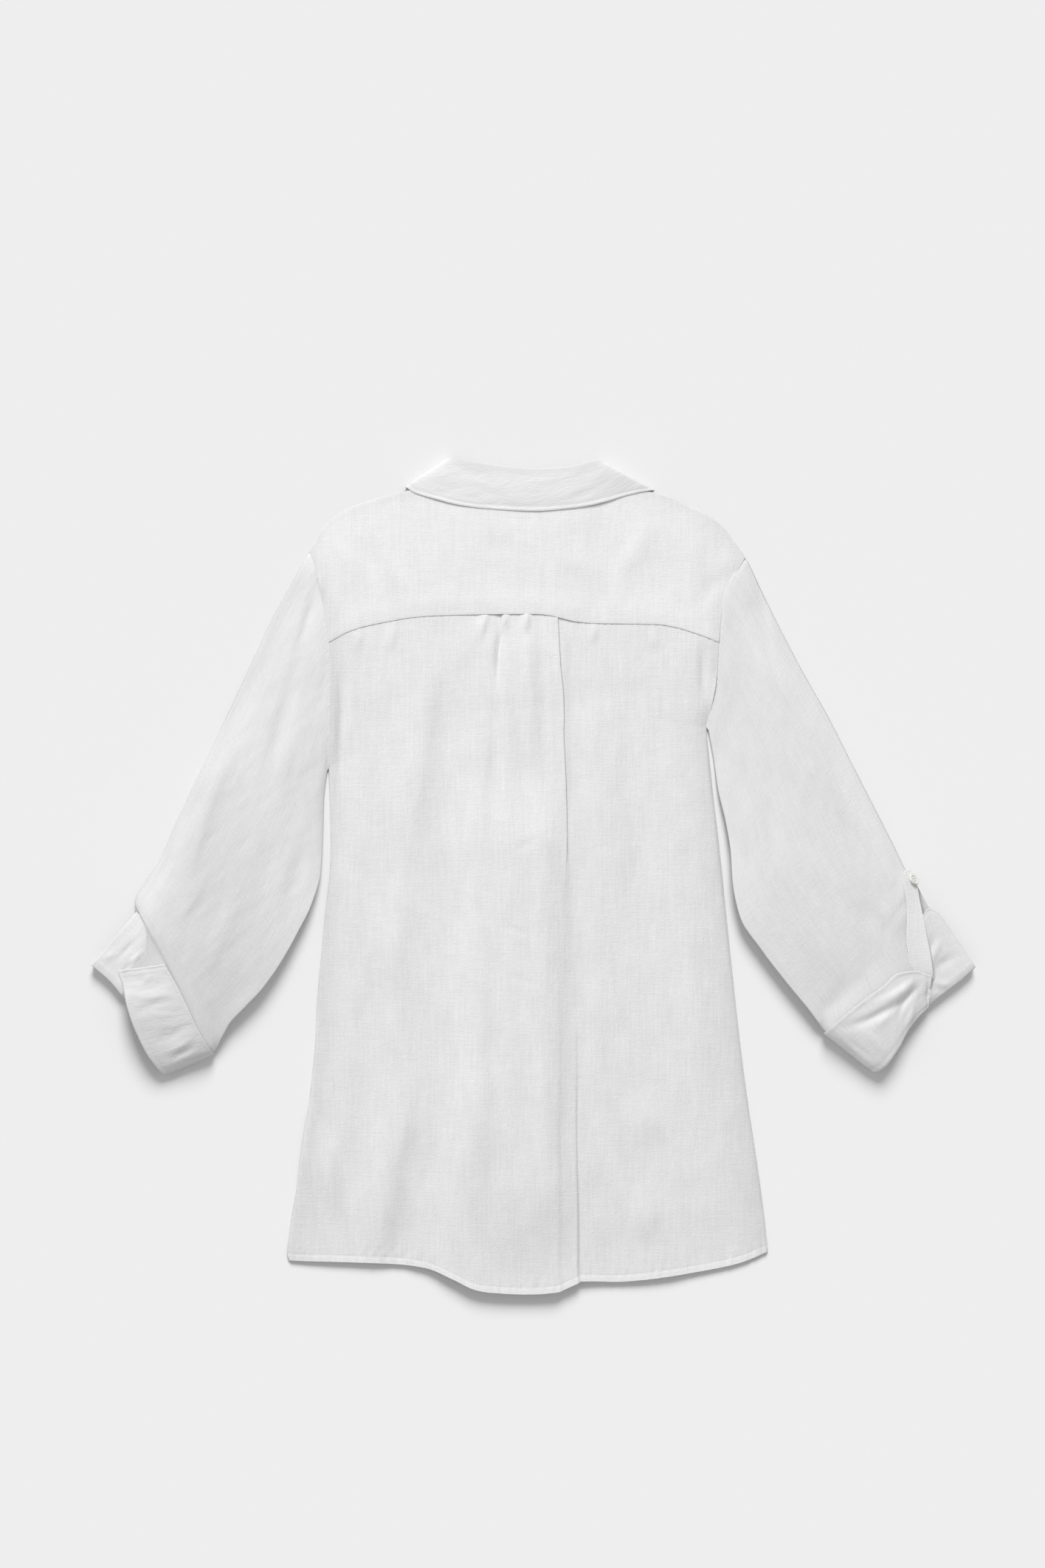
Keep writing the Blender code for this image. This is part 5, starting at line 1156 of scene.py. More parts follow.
CUFF_CREASES = {
    "left": table(CREASE_COLUMNS, [
        (-340, -98, -386, -110, 3, -0.5, 2.5, 3), (-334, -108, -380, -118, 1, 0.4, 3, 3),
        (-330, -116, -379, -131, -3, -0.5, 3, 4), (-336, -130, -366, -128, 2, 0.4, 3, 2.5),
        (-322, -138, -368, -158, 4, -0.9, 4, 6), (-318, -148, -352, -168, 3, 0.8, 4, 3),
        (-314, -156, -350, -176, 2, -0.8, 3, 5), (-363, -92, -368, -104, 0, 0.5, 3, 3),
        (-386, -88, -366, -68, 1, -0.7, 2, 3), (-398, -82, -376, -58, -1, 0.7, 3, 2),
        (-410, -82, -392, -72, 1, -0.6, 3, 3), (-392, -96, -378, -78, 0, 0.6, 2, 2),
    ]),
    "right": table(CREASE_COLUMNS, [
        (373, -95, 282, -146, 8, -2.2, 4, 6), (366, -91, 284, -141, 8, 1, 5, 4),
        (366, -92, 312, -124, 3, 1, 4, 3), (366, -98, 318, -152, -4, 1.3, 4, 6),
        (364, -103, 340, -140, -3, -0.9, 2.5, 3), (360, -112, 346, -152, 2, 0.6, 3, 3),
        (302, -138, 332, -174, 2, 0.7, 4, 5), (290, -148, 326, -176, -2, -0.5, 3, 3),
        (372, -98, 371, -124, 1, -1.2, 3, 3), (372, -92, 386, -58, 2, -1.2, 3, 3.5),
        (374, -94, 404, -74, 2, 0.9, 4, 5), (375, -98, 398, -104, -2, -0.9, 3, 3.5),
        (372, -88, 376, -50, -2, 0.9, 3, 4), (378, -104, 392, -118, 1, 0.6, 4, 3),
    ]),
}


def add(tree, kind, settings=(), links=()):
    """A node with its settings and its incoming links. A setting is an attribute of the node or
    else the value of one of its inputs."""
    node = tree.nodes.new(kind)
    for name, value in dict(settings).items():
        if isinstance(name, str) and hasattr(node, name):
            setattr(node, name, value)
        else:
            node.inputs[name].default_value = value
    for name, source in dict(links).items():
        tree.links.new(source, node.inputs[name])
    return node


def started(name, **sockets):
    """A new material, its node tree and its shader with these values on its own sockets."""
    made = bpy.data.materials.new(name)
    made.use_nodes = True
    shader = made.node_tree.nodes["Principled BSDF"]
    for socket, value in sockets.items():
        shader.inputs[socket.replace("_", " ").title().replace("Ior", "IOR")].default_value = value
    return made, made.node_tree, shader


def between(tree, dark, light, factor):
    """A colour from a dark to a light one, by a factor."""
    settings = {"data_type": "RGBA", 6: (*dark, 1), 7: (*light, 1)}
    return add(tree, "ShaderNodeMix", settings, {0: factor}).outputs[2]


def woven_linen(name, linen, lightness, streaked):
    """Bleached flax in a plain weave, washed and pressed. It is matt, and thick places in the
    spun yarn show as long pale and dark streaks down the warp, and shorter ones along the weft."""
    made, tree, shader = started(name, roughness=0.88, sheen_weight=0.08, sheen_roughness=0.5)
    shader.inputs["Specular IOR Level"].default_value = 0.2
    place = add(tree, "ShaderNodeUVMap", {"uv_map": "weave"}).outputs["UV"]
    yarn = linen.yarn

    def grain(across, along_it, detail, shift):
        """Noise whose grains are so wide across the warp and so long along it."""
        settings = {"Scale": (1 / across, 1 / along_it, 1), "Location": (shift, shift, 0)}
        mapped = add(tree, "ShaderNodeMapping", settings, {"Vector": place}).outputs[0]
        settings = {"noise_dimensions": "2D", "Scale": 1.0, "Detail": detail}
        return add(tree, "ShaderNodeTexNoise", settings, {"Vector": mapped}).outputs[0]

    def summed(parts):
        """The sum of sources, each times its factor."""
        total = None
        for source, factor in parts:
            settings = {"operation": "MULTIPLY_ADD", 1: factor, 2: 0.0}
            links = {0: source} if total is None else {0: source, 2: total}
            total = add(tree, "ShaderNodeMath", settings, links).outputs[0]
        return total

    warp = grain(yarn * 2.0, yarn * 34, 2.0, 3.1)
    weft = grain(yarn * 22, yarn * 1.8, 2.0, 7.7)
    threads_up = grain(yarn, yarn * 6, 1.0, 1.3)
    threads_across = grain(yarn * 4, yarn, 1.0, 5.9)
    cloud = grain(yarn * 14, yarn * 34, 2.0, 9.4)
    tone = [(warp, 0.3), (weft, 0.2), (threads_up, 0.15), (threads_across, 0.13), (cloud, 0.22)]
    settings = {"From Min": 0.36, "From Max": 0.64}
    spread = add(tree, "ShaderNodeMapRange", settings, {"Value": summed(tone)}).outputs[0]
    # Each finish's lightness is partly painted light and shade.
    light = [c * lightness for c in linen.colour]
    grey = [c * (1 - linen.streaks * streaked) for c in light]
    one_layer = between(tree, grey, light, spread)
    # Whiter where the hem is doubled, and darker or lighter where shade and light are painted on,
    # by an attribute of the mesh.
    layer_whiteness_and_painted_shade = add(tree, "ShaderNodeAttribute", {"attribute_name": "layer_whiteness_and_painted_shade"}).outputs["Fac"]
    whiter = (*[c * 0.06 for c in light], 1)
    settings = {"data_type": "RGBA", "blend_type": "ADD", "clamp_factor": False, 7: whiter}
    layered_and_painted_colour = add(tree, "ShaderNodeMix", settings, {0: layer_whiteness_and_painted_shade, 6: one_layer})
    tree.links.new(layered_and_painted_colour.outputs[2], shader.inputs["Base Color"])
    relief = [(warp, 0.5), (weft, 0.4), (threads_up, 0.9), (threads_across, 0.8)]
    settings = {"Strength": 0.6, "Distance": yarn * 0.3}
    bump = add(tree, "ShaderNodeBump", settings, {"Height": summed(relief)})
    tree.links.new(bump.outputs[0], shader.inputs["Normal"])
    return made


def polished_shell(name, colour):
    """Turned and polished mother of pearl: white, with faint cloudy bands and a clear gloss."""
    made, tree, shader = started(name, roughness=0.22, ior=1.53, coat_weight=0.3)
    place = add(tree, "ShaderNodeTexCoord").outputs["Object"]
    mapped = add(tree, "ShaderNodeMapping", {"Scale": (120, 320, 240)}, {"Vector": place})
    settings = {"Scale": 1.0, "Detail": 3.0, "Distortion": 1.2}
    bands = add(tree, "ShaderNodeTexNoise", settings, {"Vector": mapped.outputs[0]}).outputs[0]
    shade = [c * 0.86 for c in colour]
    tree.links.new(between(tree, shade, colour, bands), shader.inputs["Base Color"])
    bump = add(tree, "ShaderNodeBump", {"Strength": 0.15, "Distance": 0.0002}, {"Height": bands})
    tree.links.new(bump.outputs[0], shader.inputs["Normal"])
    return made


def spun_thread(name, sewing):
    """Spun polyester sewing thread: white, with a low sheen and the slanted lines of its twist."""
    made, tree, shader = started(name, roughness=0.6, sheen_weight=0.2)
    place = add(tree, "ShaderNodeTexCoord").outputs["Object"]
    settings = {"Scale": 0.5 / sewing.thread, "bands_direction": "DIAGONAL"}
    twist = add(tree, "ShaderNodeTexWave", settings, {"Vector": place}).outputs["Fac"]
    shade = [c * 0.9 for c in sewing.colour]
    tree.links.new(between(tree, shade, sewing.colour, twist), shader.inputs["Base Color"])
    return made


def painted_board(name, colour):
    """A matt painted board, which shows no gloss."""
    made, _, shader = started(name, base_color=(*colour, 1), roughness=0.95)
    shader.inputs["Specular IOR Level"].default_value = 0.0
    return made


# Cloth of one layer lets some light through, and more layers look whiter. Each has its lightness,
# # and its share of the yarn's streaks. The lightness is also painted light and shade: higher on
# the
# # pieces near the collar and lower on the sleeves and the turned-back cuffs, standing in for light
# # that is brighter towards the collar and for the shade on the cuffs.
LINENS = {
    "washed linen": (0.955, 1.0),
    "washed linen sleeve": (0.95, 0.75),
    "doubled linen": (0.975, 0.9),
    "interfaced linen": (0.965, 0.8),
    "turned-back linen with painted shade": (0.9, 0.65),
}


def finish_named(name):
    """The blouse's finish of that name, made once."""
    blouse = bpy.context.scene.blouse
    if name in bpy.data.materials:
        return bpy.data.materials[name]
    if name == "polished shell":
        return polished_shell(name, blouse.buttons.colour)
    if name == "spun thread":
        return spun_thread(name, blouse.sewing)
    return woven_linen(name, blouse.linen, *LINENS[name])


def waves(kind, x, y):
    """The uneven soft waves of one kind of piece."""
    return sum(height * crumple(x, y, wide, long, seed) for seed, wide, long, height in WAVES[kind])


def puckered(seam, at, off):
    """The puckers along one kind of seam."""
    seed, spacing, reach, height = PUCKERS[seam]
    return puckers(at, off, spacing, reach, seed) * height


def ridges(edge, off):
    """The ridges along one kind of edge, at distances from it."""
    return sum(height * bump(off - place, reach) for place, reach, height in RIDGES[edge])


def laid(piece, node):
    """Says which node a piece of cloth stands for, and seats it on the blouse's body."""
    seated(piece, "linen", node)


def back_surface(linen):
    """The back panel with its box pleat, soft folds and creases, how far each point is in the hem,
    and how much painted shade its sides get."""
    net = dense(back_net(), FINE_CELL, (1, 2), (HEM_ROWS, RIM_STEPS, RIM_STEPS, RIM_STEPS))
    u, v = net[..., 3], net[..., 4]
    for side, (place, _) in PLEATS.items():
        drift = curve(v, PLEAT_DRIFT["up"], PLEAT_DRIFT[side])
        net[..., 0] += drift * bump(u - place, PLEAT_SHARE)
    x, y = net[..., 0].copy(), net[..., 1].copy()
    width = x[:, -1:] - x[:, :1]
    from_side = np.minimum(u, 1 - u) * width
    from_hem, from_seam = arc(net, 0), arc(net[::-1], 0)[::-1]
    from_stitches = from_hem - HEM_DEPTH
    off_edges = soft_step(v / BACK_EDGES["hem"]) * soft_step((1 - v) / BACK_EDGES["yoke"])
    height = off_edges * fold_heights(BACK_FOLDS, u, v, width)
    height += off_edges * soft_step(from_side / WAVES_FADE["back"]) * waves("back", x, y)
    height += creased(x, y, BACK_CREASES)
    height += puckered("back seam", x, from_seam)
    height += puckered("hem", x, from_stitches)
    height -= bump(from_stitches, STITCH_DENT["reach"]) * STITCH_DENT["depth"]
    below_arm = 1 - soft_step((v - UNDERARM_UP) / SIDE_TURN["arm"] + 1)
    net[..., 2] += height * linen.folds
    net[..., 2] -= SIDE_TURN["down"] * bump(from_side, SIDE_TURN["reach"]) * below_arm
    reach = SIDE_SHADE["reach"] * (1 + SIDE_SHADE["lower"] * (1 - v))
    shade = SIDE_SHADE["depth"] * bump(from_side, reach)
    net[..., 3], net[..., 4] = x, y
    return net, 1 - soft_step(from_stitches / HEM_STEP + 0.5), shade


def make_back(blouse):
    wall = blouse.linen.wall / MM
    surface, in_hem, shade = back_surface(blouse.linen)
    thick = 1 - (1 - 1 / THICKER["hem"]) * (1 - in_hem)
    finish = finish_named("washed linen")
    # Whiter in the doubled hem, with painted shade near the sides.
    layers = in_hem - shade
    most = wall * THICKER["hem"]
    piece = cloth("back_panel", surface, finish, most, thick=thick, layer_whiteness_and_painted_shade=layers)
    hem = seam_line(surface, "bottom", HEM_DEPTH, wall * THICKER["hem stitches"])
    sewn = lockstitches("back_hem_stitches", [hem], blouse.sewing)
    laid(piece, "back")


def lip_height(x, from_seam, below, wall):
    """The height of the yoke's lower edge at these columns, where it lies on the back's last
    row, below."""
    near = np.abs(x[:, None] - below[None, :, 0]) < LIP["reach"]
    lying = np.where(near, below[None, :, 2], 0).max(axis=1) + wall
    columns, evened = LIP_COLUMNS["highest"], LIP_COLUMNS["evened"]
    lying = np.max([np.roll(lying, shift) for shift in range(-columns, columns + 1)], axis=0)
    count = 2 * evened + 1
    lying = np.convolve(np.pad(lying, evened, "edge"), np.ones(count) / count, "valid")
    return lying + LIP["rise"] * (1 - np.exp(-from_seam / LIP["bend"]))


def make_yoke(blouse):
    wall = blouse.linen.wall / MM
    below = back_surface(blouse.linen)[0][-1]
    net = dense(yoke_net(), FINE_CELL, (1, 1), (SEAM_ROWS, RIM_STEPS, RIM_STEPS, RIM_STEPS))
    x, y, u, v = net[..., 0].copy(), net[..., 1].copy(), net[..., 3], net[..., 4]
    from_seam = arc(net, 0)
    from_side = np.minimum(u, 1 - u) * (x[:, -1:] - x[:, :1])
    off_side = soft_step(from_side / WAVES_FADE["yoke"])
    off_top = soft_step((1 - v) / WAVES_FADE["yoke top"])
    height = waves("yoke", x, y) * off_side * off_top
    height += creased(x, y, YOKE_CREASES)
    net[..., 2] += height * blouse.linen.folds
    lip = lip_height(x[0], from_seam, below, wall)
    blend = soft_step(from_seam / LIP["blend"])
    net[..., 2] = lip * (1 - blend) + net[..., 2] * blend
    off_seam = soft_step(from_seam / 2)
    net[..., 2] += puckered("yoke seam", x, from_seam - LIP["bend"]) * off_seam
    net[..., 1] -= LIP["past"] * (1 - blend)
    net[..., 3], net[..., 4] = x, y
    thick = LIP["thin"] + (1 - LIP["thin"]) * off_seam
    # Painted shade near the yoke's sides and its top edge.
    from_edge = np.minimum(from_side, arc(net[::-1], 0)[::-1])
    shade = SIDE_SHADE["depth"] * bump(from_edge, SIDE_SHADE["reach"])
    finish = finish_named("doubled linen")
    piece = cloth("yoke_panel", net, finish, wall, thick=thick, layer_whiteness_and_painted_shade=-shade)
    laid(piece, "yoke")


def make_fronts(blouse):
    wall = blouse.linen.wall / MM
    band = BUTTON_THICK + SEAM_GAP
    for side, seam, armhole, lift in (
        ("left", LEFT_SIDE, LEFT_FRONT_ARMHOLE, band + LAYER),
        ("right", RIGHT_SIDE, RIGHT_FRONT_ARMHOLE, band),
    ):
        columns = np.concatenate([FRONT_COLUMNS[side], FRONT_BAND_COLUMNS[side]])
        grid = front_grid(side, seam, armhole, columns, lift, FRONT_BANDS[side])
        shared = with_shares(grid, columns, np.arange(len(grid)))
        surface = dense(shared, HIDDEN_CELL, (1, 1), FRONT_RIMS)
        surface[..., 3:] = surface[..., :2]
        piece = cloth(f"front_{side}_panel", surface, finish_named("washed linen"), wall)
        way = -1 if outward(surface)[..., 2].mean() > 0 else 1
        places = (("bottom", HEM_DEPTH), ("right", 2 * BAND_OVERLAP), ("right", EDGE_STITCH))
        lines = [seam_line(surface, edge, inside, wall, way) for edge, inside in places]
        sewn = lockstitches(f"front_{side}_stitches", lines, blouse.sewing)
        laid(piece, f"front_{side}")


def sleeve_net(side, rings, cuff, slit, arms):
    """A sleeve as rings down it and columns round it, the places of its rings and of its
    columns, and those of the rings and columns that they were drawn through."""
    pressed = ON_FLOOR + (rings["outer_z"] - ON_FLOOR) * OUTER_EDGE
    flatter = curve(np.linspace(0, 1, len(pressed)), FLATTER["place"], FLATTER["share"])
    lying = {**rings, "outer_z": pressed, "crown": rings["crown"] * flatter}
    net = ring_rows(lying, side, cuff, slit, *arms)
    rows = knots_of(net, 0)
    down = places(rows, SLEEVE_CELL, 1, SLEEVE_ROWS)
    surface = drawn(net, 0, rows, down)
    columns = knots_of(surface, 1)
    round_it = places(columns, SLEEVE_CELL, 2)
    return drawn(surface, 1, columns, round_it), down, round_it, rows, columns


def sleeve_folds(x, y, down, round_it, rows, fold, side, way):
    """The height of the folds, creases and puckers on the top of a sleeve."""
    from_fold = np.minimum(round_it, fold - round_it)
    in_from_fold = soft_step(from_fold / SLEEVE_FADE["fold"])
    from_arm = soft_step(down / SLEEVE_FADE["arm"])
    from_cuff = soft_step((rows[-4] - down) / SLEEVE_FADE["arm"] + 0.6)
    slant = np.array((way * SLEEVE_SLANT[0], SLEEVE_SLANT[1]))
    across, along_it = x * slant[1] - y * slant[0], x * slant[0] + y * slant[1]
    height = in_from_fold * waves("sleeve", across, along_it) * (from_cuff * from_arm)
    short_of_cuff = soft_step((rows[-3] - down) / SLEEVE_FADE["cuff"])
    height += creased(x, y, SLEEVE_CREASES[side]) * short_of_cuff
    return height + puckered("armhole", round_it, down) * in_from_fold


def sleeve_shade(height, down, from_outer, side):
    """How much painted shade a sleeve gets where it is high, at its outer edge and near its top."""
    high = soft_step((height - HEIGHT_PAINTED_SHADE["from"]) / HEIGHT_PAINTED_SHADE["over"])
    rim = bump(from_outer, RIM_SHADE["reach"]) * soft_step(down / RIM_SHADE["from"])
    shade = HEIGHT_PAINTED_SHADE[side] * high + RIM_SHADE[side] * rim
    return shade + UPPER_SHADE[side] * np.exp(-((down / UPPER_SHADE["reach"]) ** 4))


def make_sleeves(blouse):
    wall = blouse.linen.wall / MM
    left_arms = (LEFT_ARMHOLE, LEFT_YOKE_ARMHOLE, LEFT_FRONT_ARMHOLE)
    right_arms = (RIGHT_ARMHOLE, RIGHT_YOKE_ARMHOLE, RIGHT_FRONT_ARMHOLE)
    for side, rings, cuff, slit, arms, way in (
        ("left", LEFT_RINGS, LEFT_CUFF, LEFT_SLIT, left_arms, -1),
        ("right", RIGHT_RINGS, RIGHT_CUFF, RIGHT_SLIT, right_arms, 1),
    ):
        surface, down, round_it, rows, columns = sleeve_net(side, rings, cuff, slit, arms)
        down, round_it = np.broadcast_arrays(down[:, None], round_it[None, :])
        fold = columns[len(RING_TOP)]
        on_top = 1 - soft_step((round_it - fold) / SLEEVE_FADE["turn"] + 0.5)
        x, y = surface[..., 0].copy(), surface[..., 1].copy()
        height = sleeve_folds(x, y, down, round_it, rows, fold, side, way)
        surface[..., 2] += on_top * height * blouse.linen.folds
        tuck = np.clip(1 - down / TUCK["reach"], 0, 1) ** 1.5
        out = np.array((way, ARMHOLE_LEAN)) / math.hypot(1, ARMHOLE_LEAN)
        surface[..., :2] -= out * TUCK["in"] * tuck[..., None]
        surface[..., 2] += tuck * np.where(on_top > 0.5, -TUCK["below"], TUCK["above"])
        surface = np.concatenate([surface, round_it[..., None], down[..., None]], -1)
        closed = down[:, 0] <= rows[np.argmax(rings["slit"] > 0) - 1] + 1e-6
        from_outer = np.minimum(round_it, columns[-1] - round_it)
        # Painted shade where the sleeve stands high, at its outer edge and near its top.
        shade = sleeve_shade(surface[..., 2], down, from_outer, side)
        finish = finish_named("washed linen sleeve")
        name = f"sleeve_{side}_tube"
        piece = cloth(name, surface, finish, wall, way, closed, layer_whiteness_and_painted_shade=-shade)
        laid(piece, f"sleeve_{side}")


def cuff_surface(cuff, flap, side):
    """A turned-back cuff as rows across it and columns round it, with those distances as two
    more channels, the cells to leave out beside its turned-in end, and where its rim, its inner
    fold and that end are."""
    net = cuff_grid(cuff, flap, side)
    first, rim = len(CUFF_TURNS), len(CUFF_WIDTHS["width"])
    rows = knots_of(net[:, :first], 0)
    down = places(rows, SMALL_CELL, 2, RIM_STEPS[:3])
    main, tail = net[:, :first], net[:, first - 1 :].copy()
    tail[:rim, 0] = 2 * tail[:rim, 1] - tail[:rim, 2]
    main, tail = drawn(main, 0, rows, down), drawn(tail, 0, rows, down)
    knots, tail_knots = knots_of(main, 1), knots_of(tail, 1)
    round_main = places(knots, SMALL_CELL, 1, RIM_STEPS[:3])
    round_tail = places(tail_knots, SMALL_CELL, 2)
    main, tail = drawn(main, 1, knots, round_main), drawn(tail, 1, tail_knots, round_tail)
    surface = np.concatenate([main, tail[:, 1:]], 1)
    round_arm = np.concatenate([round_main, round_main[-1] + round_tail[1:]])
    last = len(round_main) - 1
    flap_start = last + int(np.searchsorted(round_tail, tail_knots[1] - 1e-3))
    web_row = int(np.searchsorted(down, rows[rim] - FLAP_WEB))
    holes = np.zeros((len(down) - 1, len(round_arm) - 1), bool)
    holes[:web_row, last:flap_start] = True
    across, around = np.broadcast_arrays(down[:, None], round_arm[None, :])
    surface = np.concatenate([surface, around[..., None], across[..., None]], -1)
    return surface, holes, rows[rim], knots[CUFF_TURNS.index(INNER_FOLD)], knots[-1]


def make_cuffs(blouse):
    wall = blouse.linen.wall / MM * THICKER["cuff"]
    finish = finish_named("turned-back linen with painted shade")
    over = CUFF_FADE
    for side, cuff, flap, way in (
        ("left", LEFT_CUFF, LEFT_FLAP, -1),
        ("right", RIGHT_CUFF, RIGHT_FLAP, 1),
    ):
        surface, holes, rim, fold, end = cuff_surface(cuff, flap, side)
        around, across = surface[..., 3], surface[..., 4]
        outer = 1 - soft_step((across - rim) / over["rim"] + 1)
        on_top = 1 - soft_step((around - fold) / over["fold"] + 1)
        on_top = on_top + soft_step((around - end) / over["end"])
        lean = creased(surface[..., 0], surface[..., 1], CUFF_CREASES[side]) * on_top
        edge = ridges("cuff's free edge", across) + ridges("cuff's end", around)
        edge += ridges("cuff's rim", rim - across)
        soft = waves("cuff", around, across) * soft_step(across / over["edge"])
        rise = (soft + lean) * blouse.linen.folds + edge
        lying = soft_step((surface[..., 2] - ON_FLOOR) / over["floor"])
        surface[..., :3] += outward(surface, way) * (rise * outer * lying)[..., None]
        # Painted light and shade: the left cuff darker and its turned-in end lighter, the right
        # cuff lighter, less so at its end.
        layers = FLAP_PAINTED_LIGHT_AND_SHADE[side] * soft_step((around - end) / over["layers"])
        layers = CUFF_PAINTED_LIGHT_AND_SHADE[side] + layers
        name = f"cuff_{side}_band"
        piece = cloth(name, surface, finish, wall, way, holes=holes, layer_whiteness_and_painted_shade=layers)
        laid(piece, f"cuff_{side}")


def make_collar(blouse):
    wall = blouse.linen.wall / MM * THICKER["collar"]
    over = COLLAR_FADE
    grids = dict(zip(("collar_stand", "collar_fall"), collar_grids()))
    rims = (RIM_STEPS[:2], COLLAR_ROWS, RIM_STEPS[:2], RIM_STEPS[:2])
    for node, grid in grids.items():
        rows, columns = np.arange(len(grid)), np.arange(grid.shape[1])
        net = dense(with_shares(grid, columns, rows), COLLAR_CELL, (2, 2), rims)
        along_it, across = arc(net, 1), arc(net, 0)
        from_edge = arc(net[::-1], 0)[::-1]
        if node == "collar_fall":
            above = soft_step((net[..., 2] - COLLAR_DROP["above"]) / over["drop"])
            net[..., 2] -= COLLAR_DROP["by"] * bump(from_edge, COLLAR_DROP["reach"]) * above
            way = 1 if outward(net)[:, net.shape[1] // 2, 2].mean() > 0 else -1
            soft = waves("collar", along_it, across) * blouse.linen.folds
            off_roll = soft_step((across - over["roll"]) / over["roll"])
            rise = soft * off_roll * soft_step(from_edge / over["roll"])
            rise += ridges("collar's edge", from_edge)
            net[..., :3] += outward(net, way) * rise[..., None]
        net[..., 3], net[..., 4] = across, along_it
        # Painted shade round the collar's roll and wherever it lies low.
        roll = bump(np.maximum(across / ROLL_SHADE["reach"] - 1, 0), 1)
        ends = soft_step((ROLL_SHADE["below"] - net[..., 2]) / over["ends"])
        shade = np.maximum(ROLL_SHADE["depth"] * roll, ROLL_SHADE["ends"] * ends)
        finish = finish_named("interfaced linen")
        piece = cloth(f"{node}_piece", net, finish, wall, layer_whiteness_and_painted_shade=-shade)
        laid(piece, node)


def make_tabs(blouse):
    wall = blouse.linen.wall / MM * THICKER["tab"]
    for side, line in (("right", RIGHT_TAB), ("left", LEFT_TAB)):
        grid = strip_grid(line, TAB_STEPS[side])
        shared = with_shares(grid, np.arange(grid.shape[1]), np.arange(len(grid)))
        net = dense(shared, SMALL_CELL, (1, 1), (RIM_STEPS[:3],) * 4)
        across, down = arc(net, 1), arc(net, 0)
        net[..., 3], net[..., 4] = across, down
        piece = cloth(f"tab_{side}_strip", net, finish_named("doubled linen"), wall)
        way = 1 if outward(net)[..., 2].mean() > 0 else -1
        lines = [seam_line(net, edge, EDGE_STITCH, wall, way) for edge in ("left", "right")]
        sewn = lockstitches(f"tab_{side}_stitches", lines, blouse.sewing)
        laid(piece, f"tab_{side}")


def cutting_solid(name, form):
    """A new object in the scene with the mesh of a form, for the cut of the button's holes."""
    thing = bpy.data.objects.new(name, bpy.data.meshes.new(name))
    form.to_mesh(thing.data)
    form.free()
    bpy.context.scene.collection.objects.link(thing)
    return thing


def turned_button():
    """The mesh of a shell button with four holes, dish up, its back at z 0."""
    radius, thick = BUTTON_RADIUS * MM, BUTTON_THICK * MM
    form = bmesh.new()
    points = [form.verts.new((r * radius, 0, z * thick)) for r, z in BUTTON_PROFILE]
    edges = [form.edges.new(pair) for pair in zip(points, points[1:])]
    turn = {"axis": (0, 0, 1), "cent": (0, 0, 0), "angle": math.tau}
    turn["steps"] = BUTTON_SIDES["rim"]
    bmesh.ops.spin(form, geom=points + edges, use_merge=True, **turn)
    bmesh.ops.remove_doubles(form, verts=form.verts, dist=1e-6)
    bmesh.ops.recalc_face_normals(form, faces=form.faces)
    blank = cutting_solid("button_blank", form)
    form = bmesh.new()
    hole = {"cap_ends": True, "segments": BUTTON_SIDES["hole"], "depth": 3 * thick}
    hole.update({"radius1": HOLE_RADIUS * MM, "radius2": HOLE_RADIUS * MM})
    for x in (-HOLE_OFFSET, HOLE_OFFSET):
        for y in (-HOLE_OFFSET, HOLE_OFFSET):
            drilled = bmesh.ops.create_cone(form, **hole)
            bmesh.ops.translate(form, verts=drilled["verts"], vec=(x * MM, y * MM, 0))
    drill = cutting_solid("button_drill", form)
    cut = blank.modifiers.new("holes", "BOOLEAN")
    cut.object = drill
    cut.operation = "DIFFERENCE"
    graph = bpy.context.evaluated_depsgraph_get()
    mesh = bpy.data.meshes.new_from_object(blank.evaluated_get(graph))
    mesh.name = "four_hole_button"
    for thing in (blank, drill):
        bpy.data.objects.remove(thing)
    mesh.shade_smooth()
    mesh.set_sharp_from_angle(angle=math.radians(BUTTON_SIDES["sharp"]))
    mesh.materials.clear()
    mesh.materials.append(finish_named("polished shell"))
    return mesh


def button_thread(name, sewing, place):
    """Thread through the four holes of a button, as two bars of two strands."""
    radius = sewing.thread / 2 / MM * BAR_THICKER
    top, h = BUTTON_THICK * 0.70, HOLE_OFFSET
    paths = []
    for bar in (-h, h):
        for strand in BAR_STRANDS:
            heights = (-0.9, top - 0.2, top + 0.3, top + 0.42, top + 0.3, top - 0.2, -0.9)
            at = zip((-h, -h, -h * 0.8, 0, h * 0.8, h, h), heights)
            path = np.array([place @ Vector((x * MM, (bar + strand) * MM, z * MM)) for x, z in at])
            across = np.array(place.to_3x3() @ Vector((0, 1, 0)))
            paths.append((path / MM, np.broadcast_to(across, path.shape)))
    return threads(name, paths, radius)


def make_buttons(blouse):
    mesh = turned_button()
    flipped = (math.pi, 0, 0)
    seats = {}
    for n in range(FRONT_BUTTONS):
        place = (CENTRE_FRONT, FRONT_BUTTON_TOP - FRONT_BUTTON_PITCH * n, BUTTON_THICK)
        seats[f"button_front_{n + 1}"] = (place, flipped)
    seats["button_tab_left"] = ((*LEFT_TAB_BUTTON, BUTTON_THICK), flipped)
    seats["button_tab_right"] = (RIGHT_TAB_BUTTON["centre"], RIGHT_TAB_BUTTON["tilt"])
    for node, (centre, tilt) in seats.items():
        piece = dressed(f"{node}_shell", mesh)
        piece.location = Vector(centre) * MM
        piece.rotation_euler = tilt
        bpy.context.view_layer.update()
        seated(piece, "buttons", node)
        button_thread(f"{node}_thread", blouse.sewing, piece.matrix_world.copy())


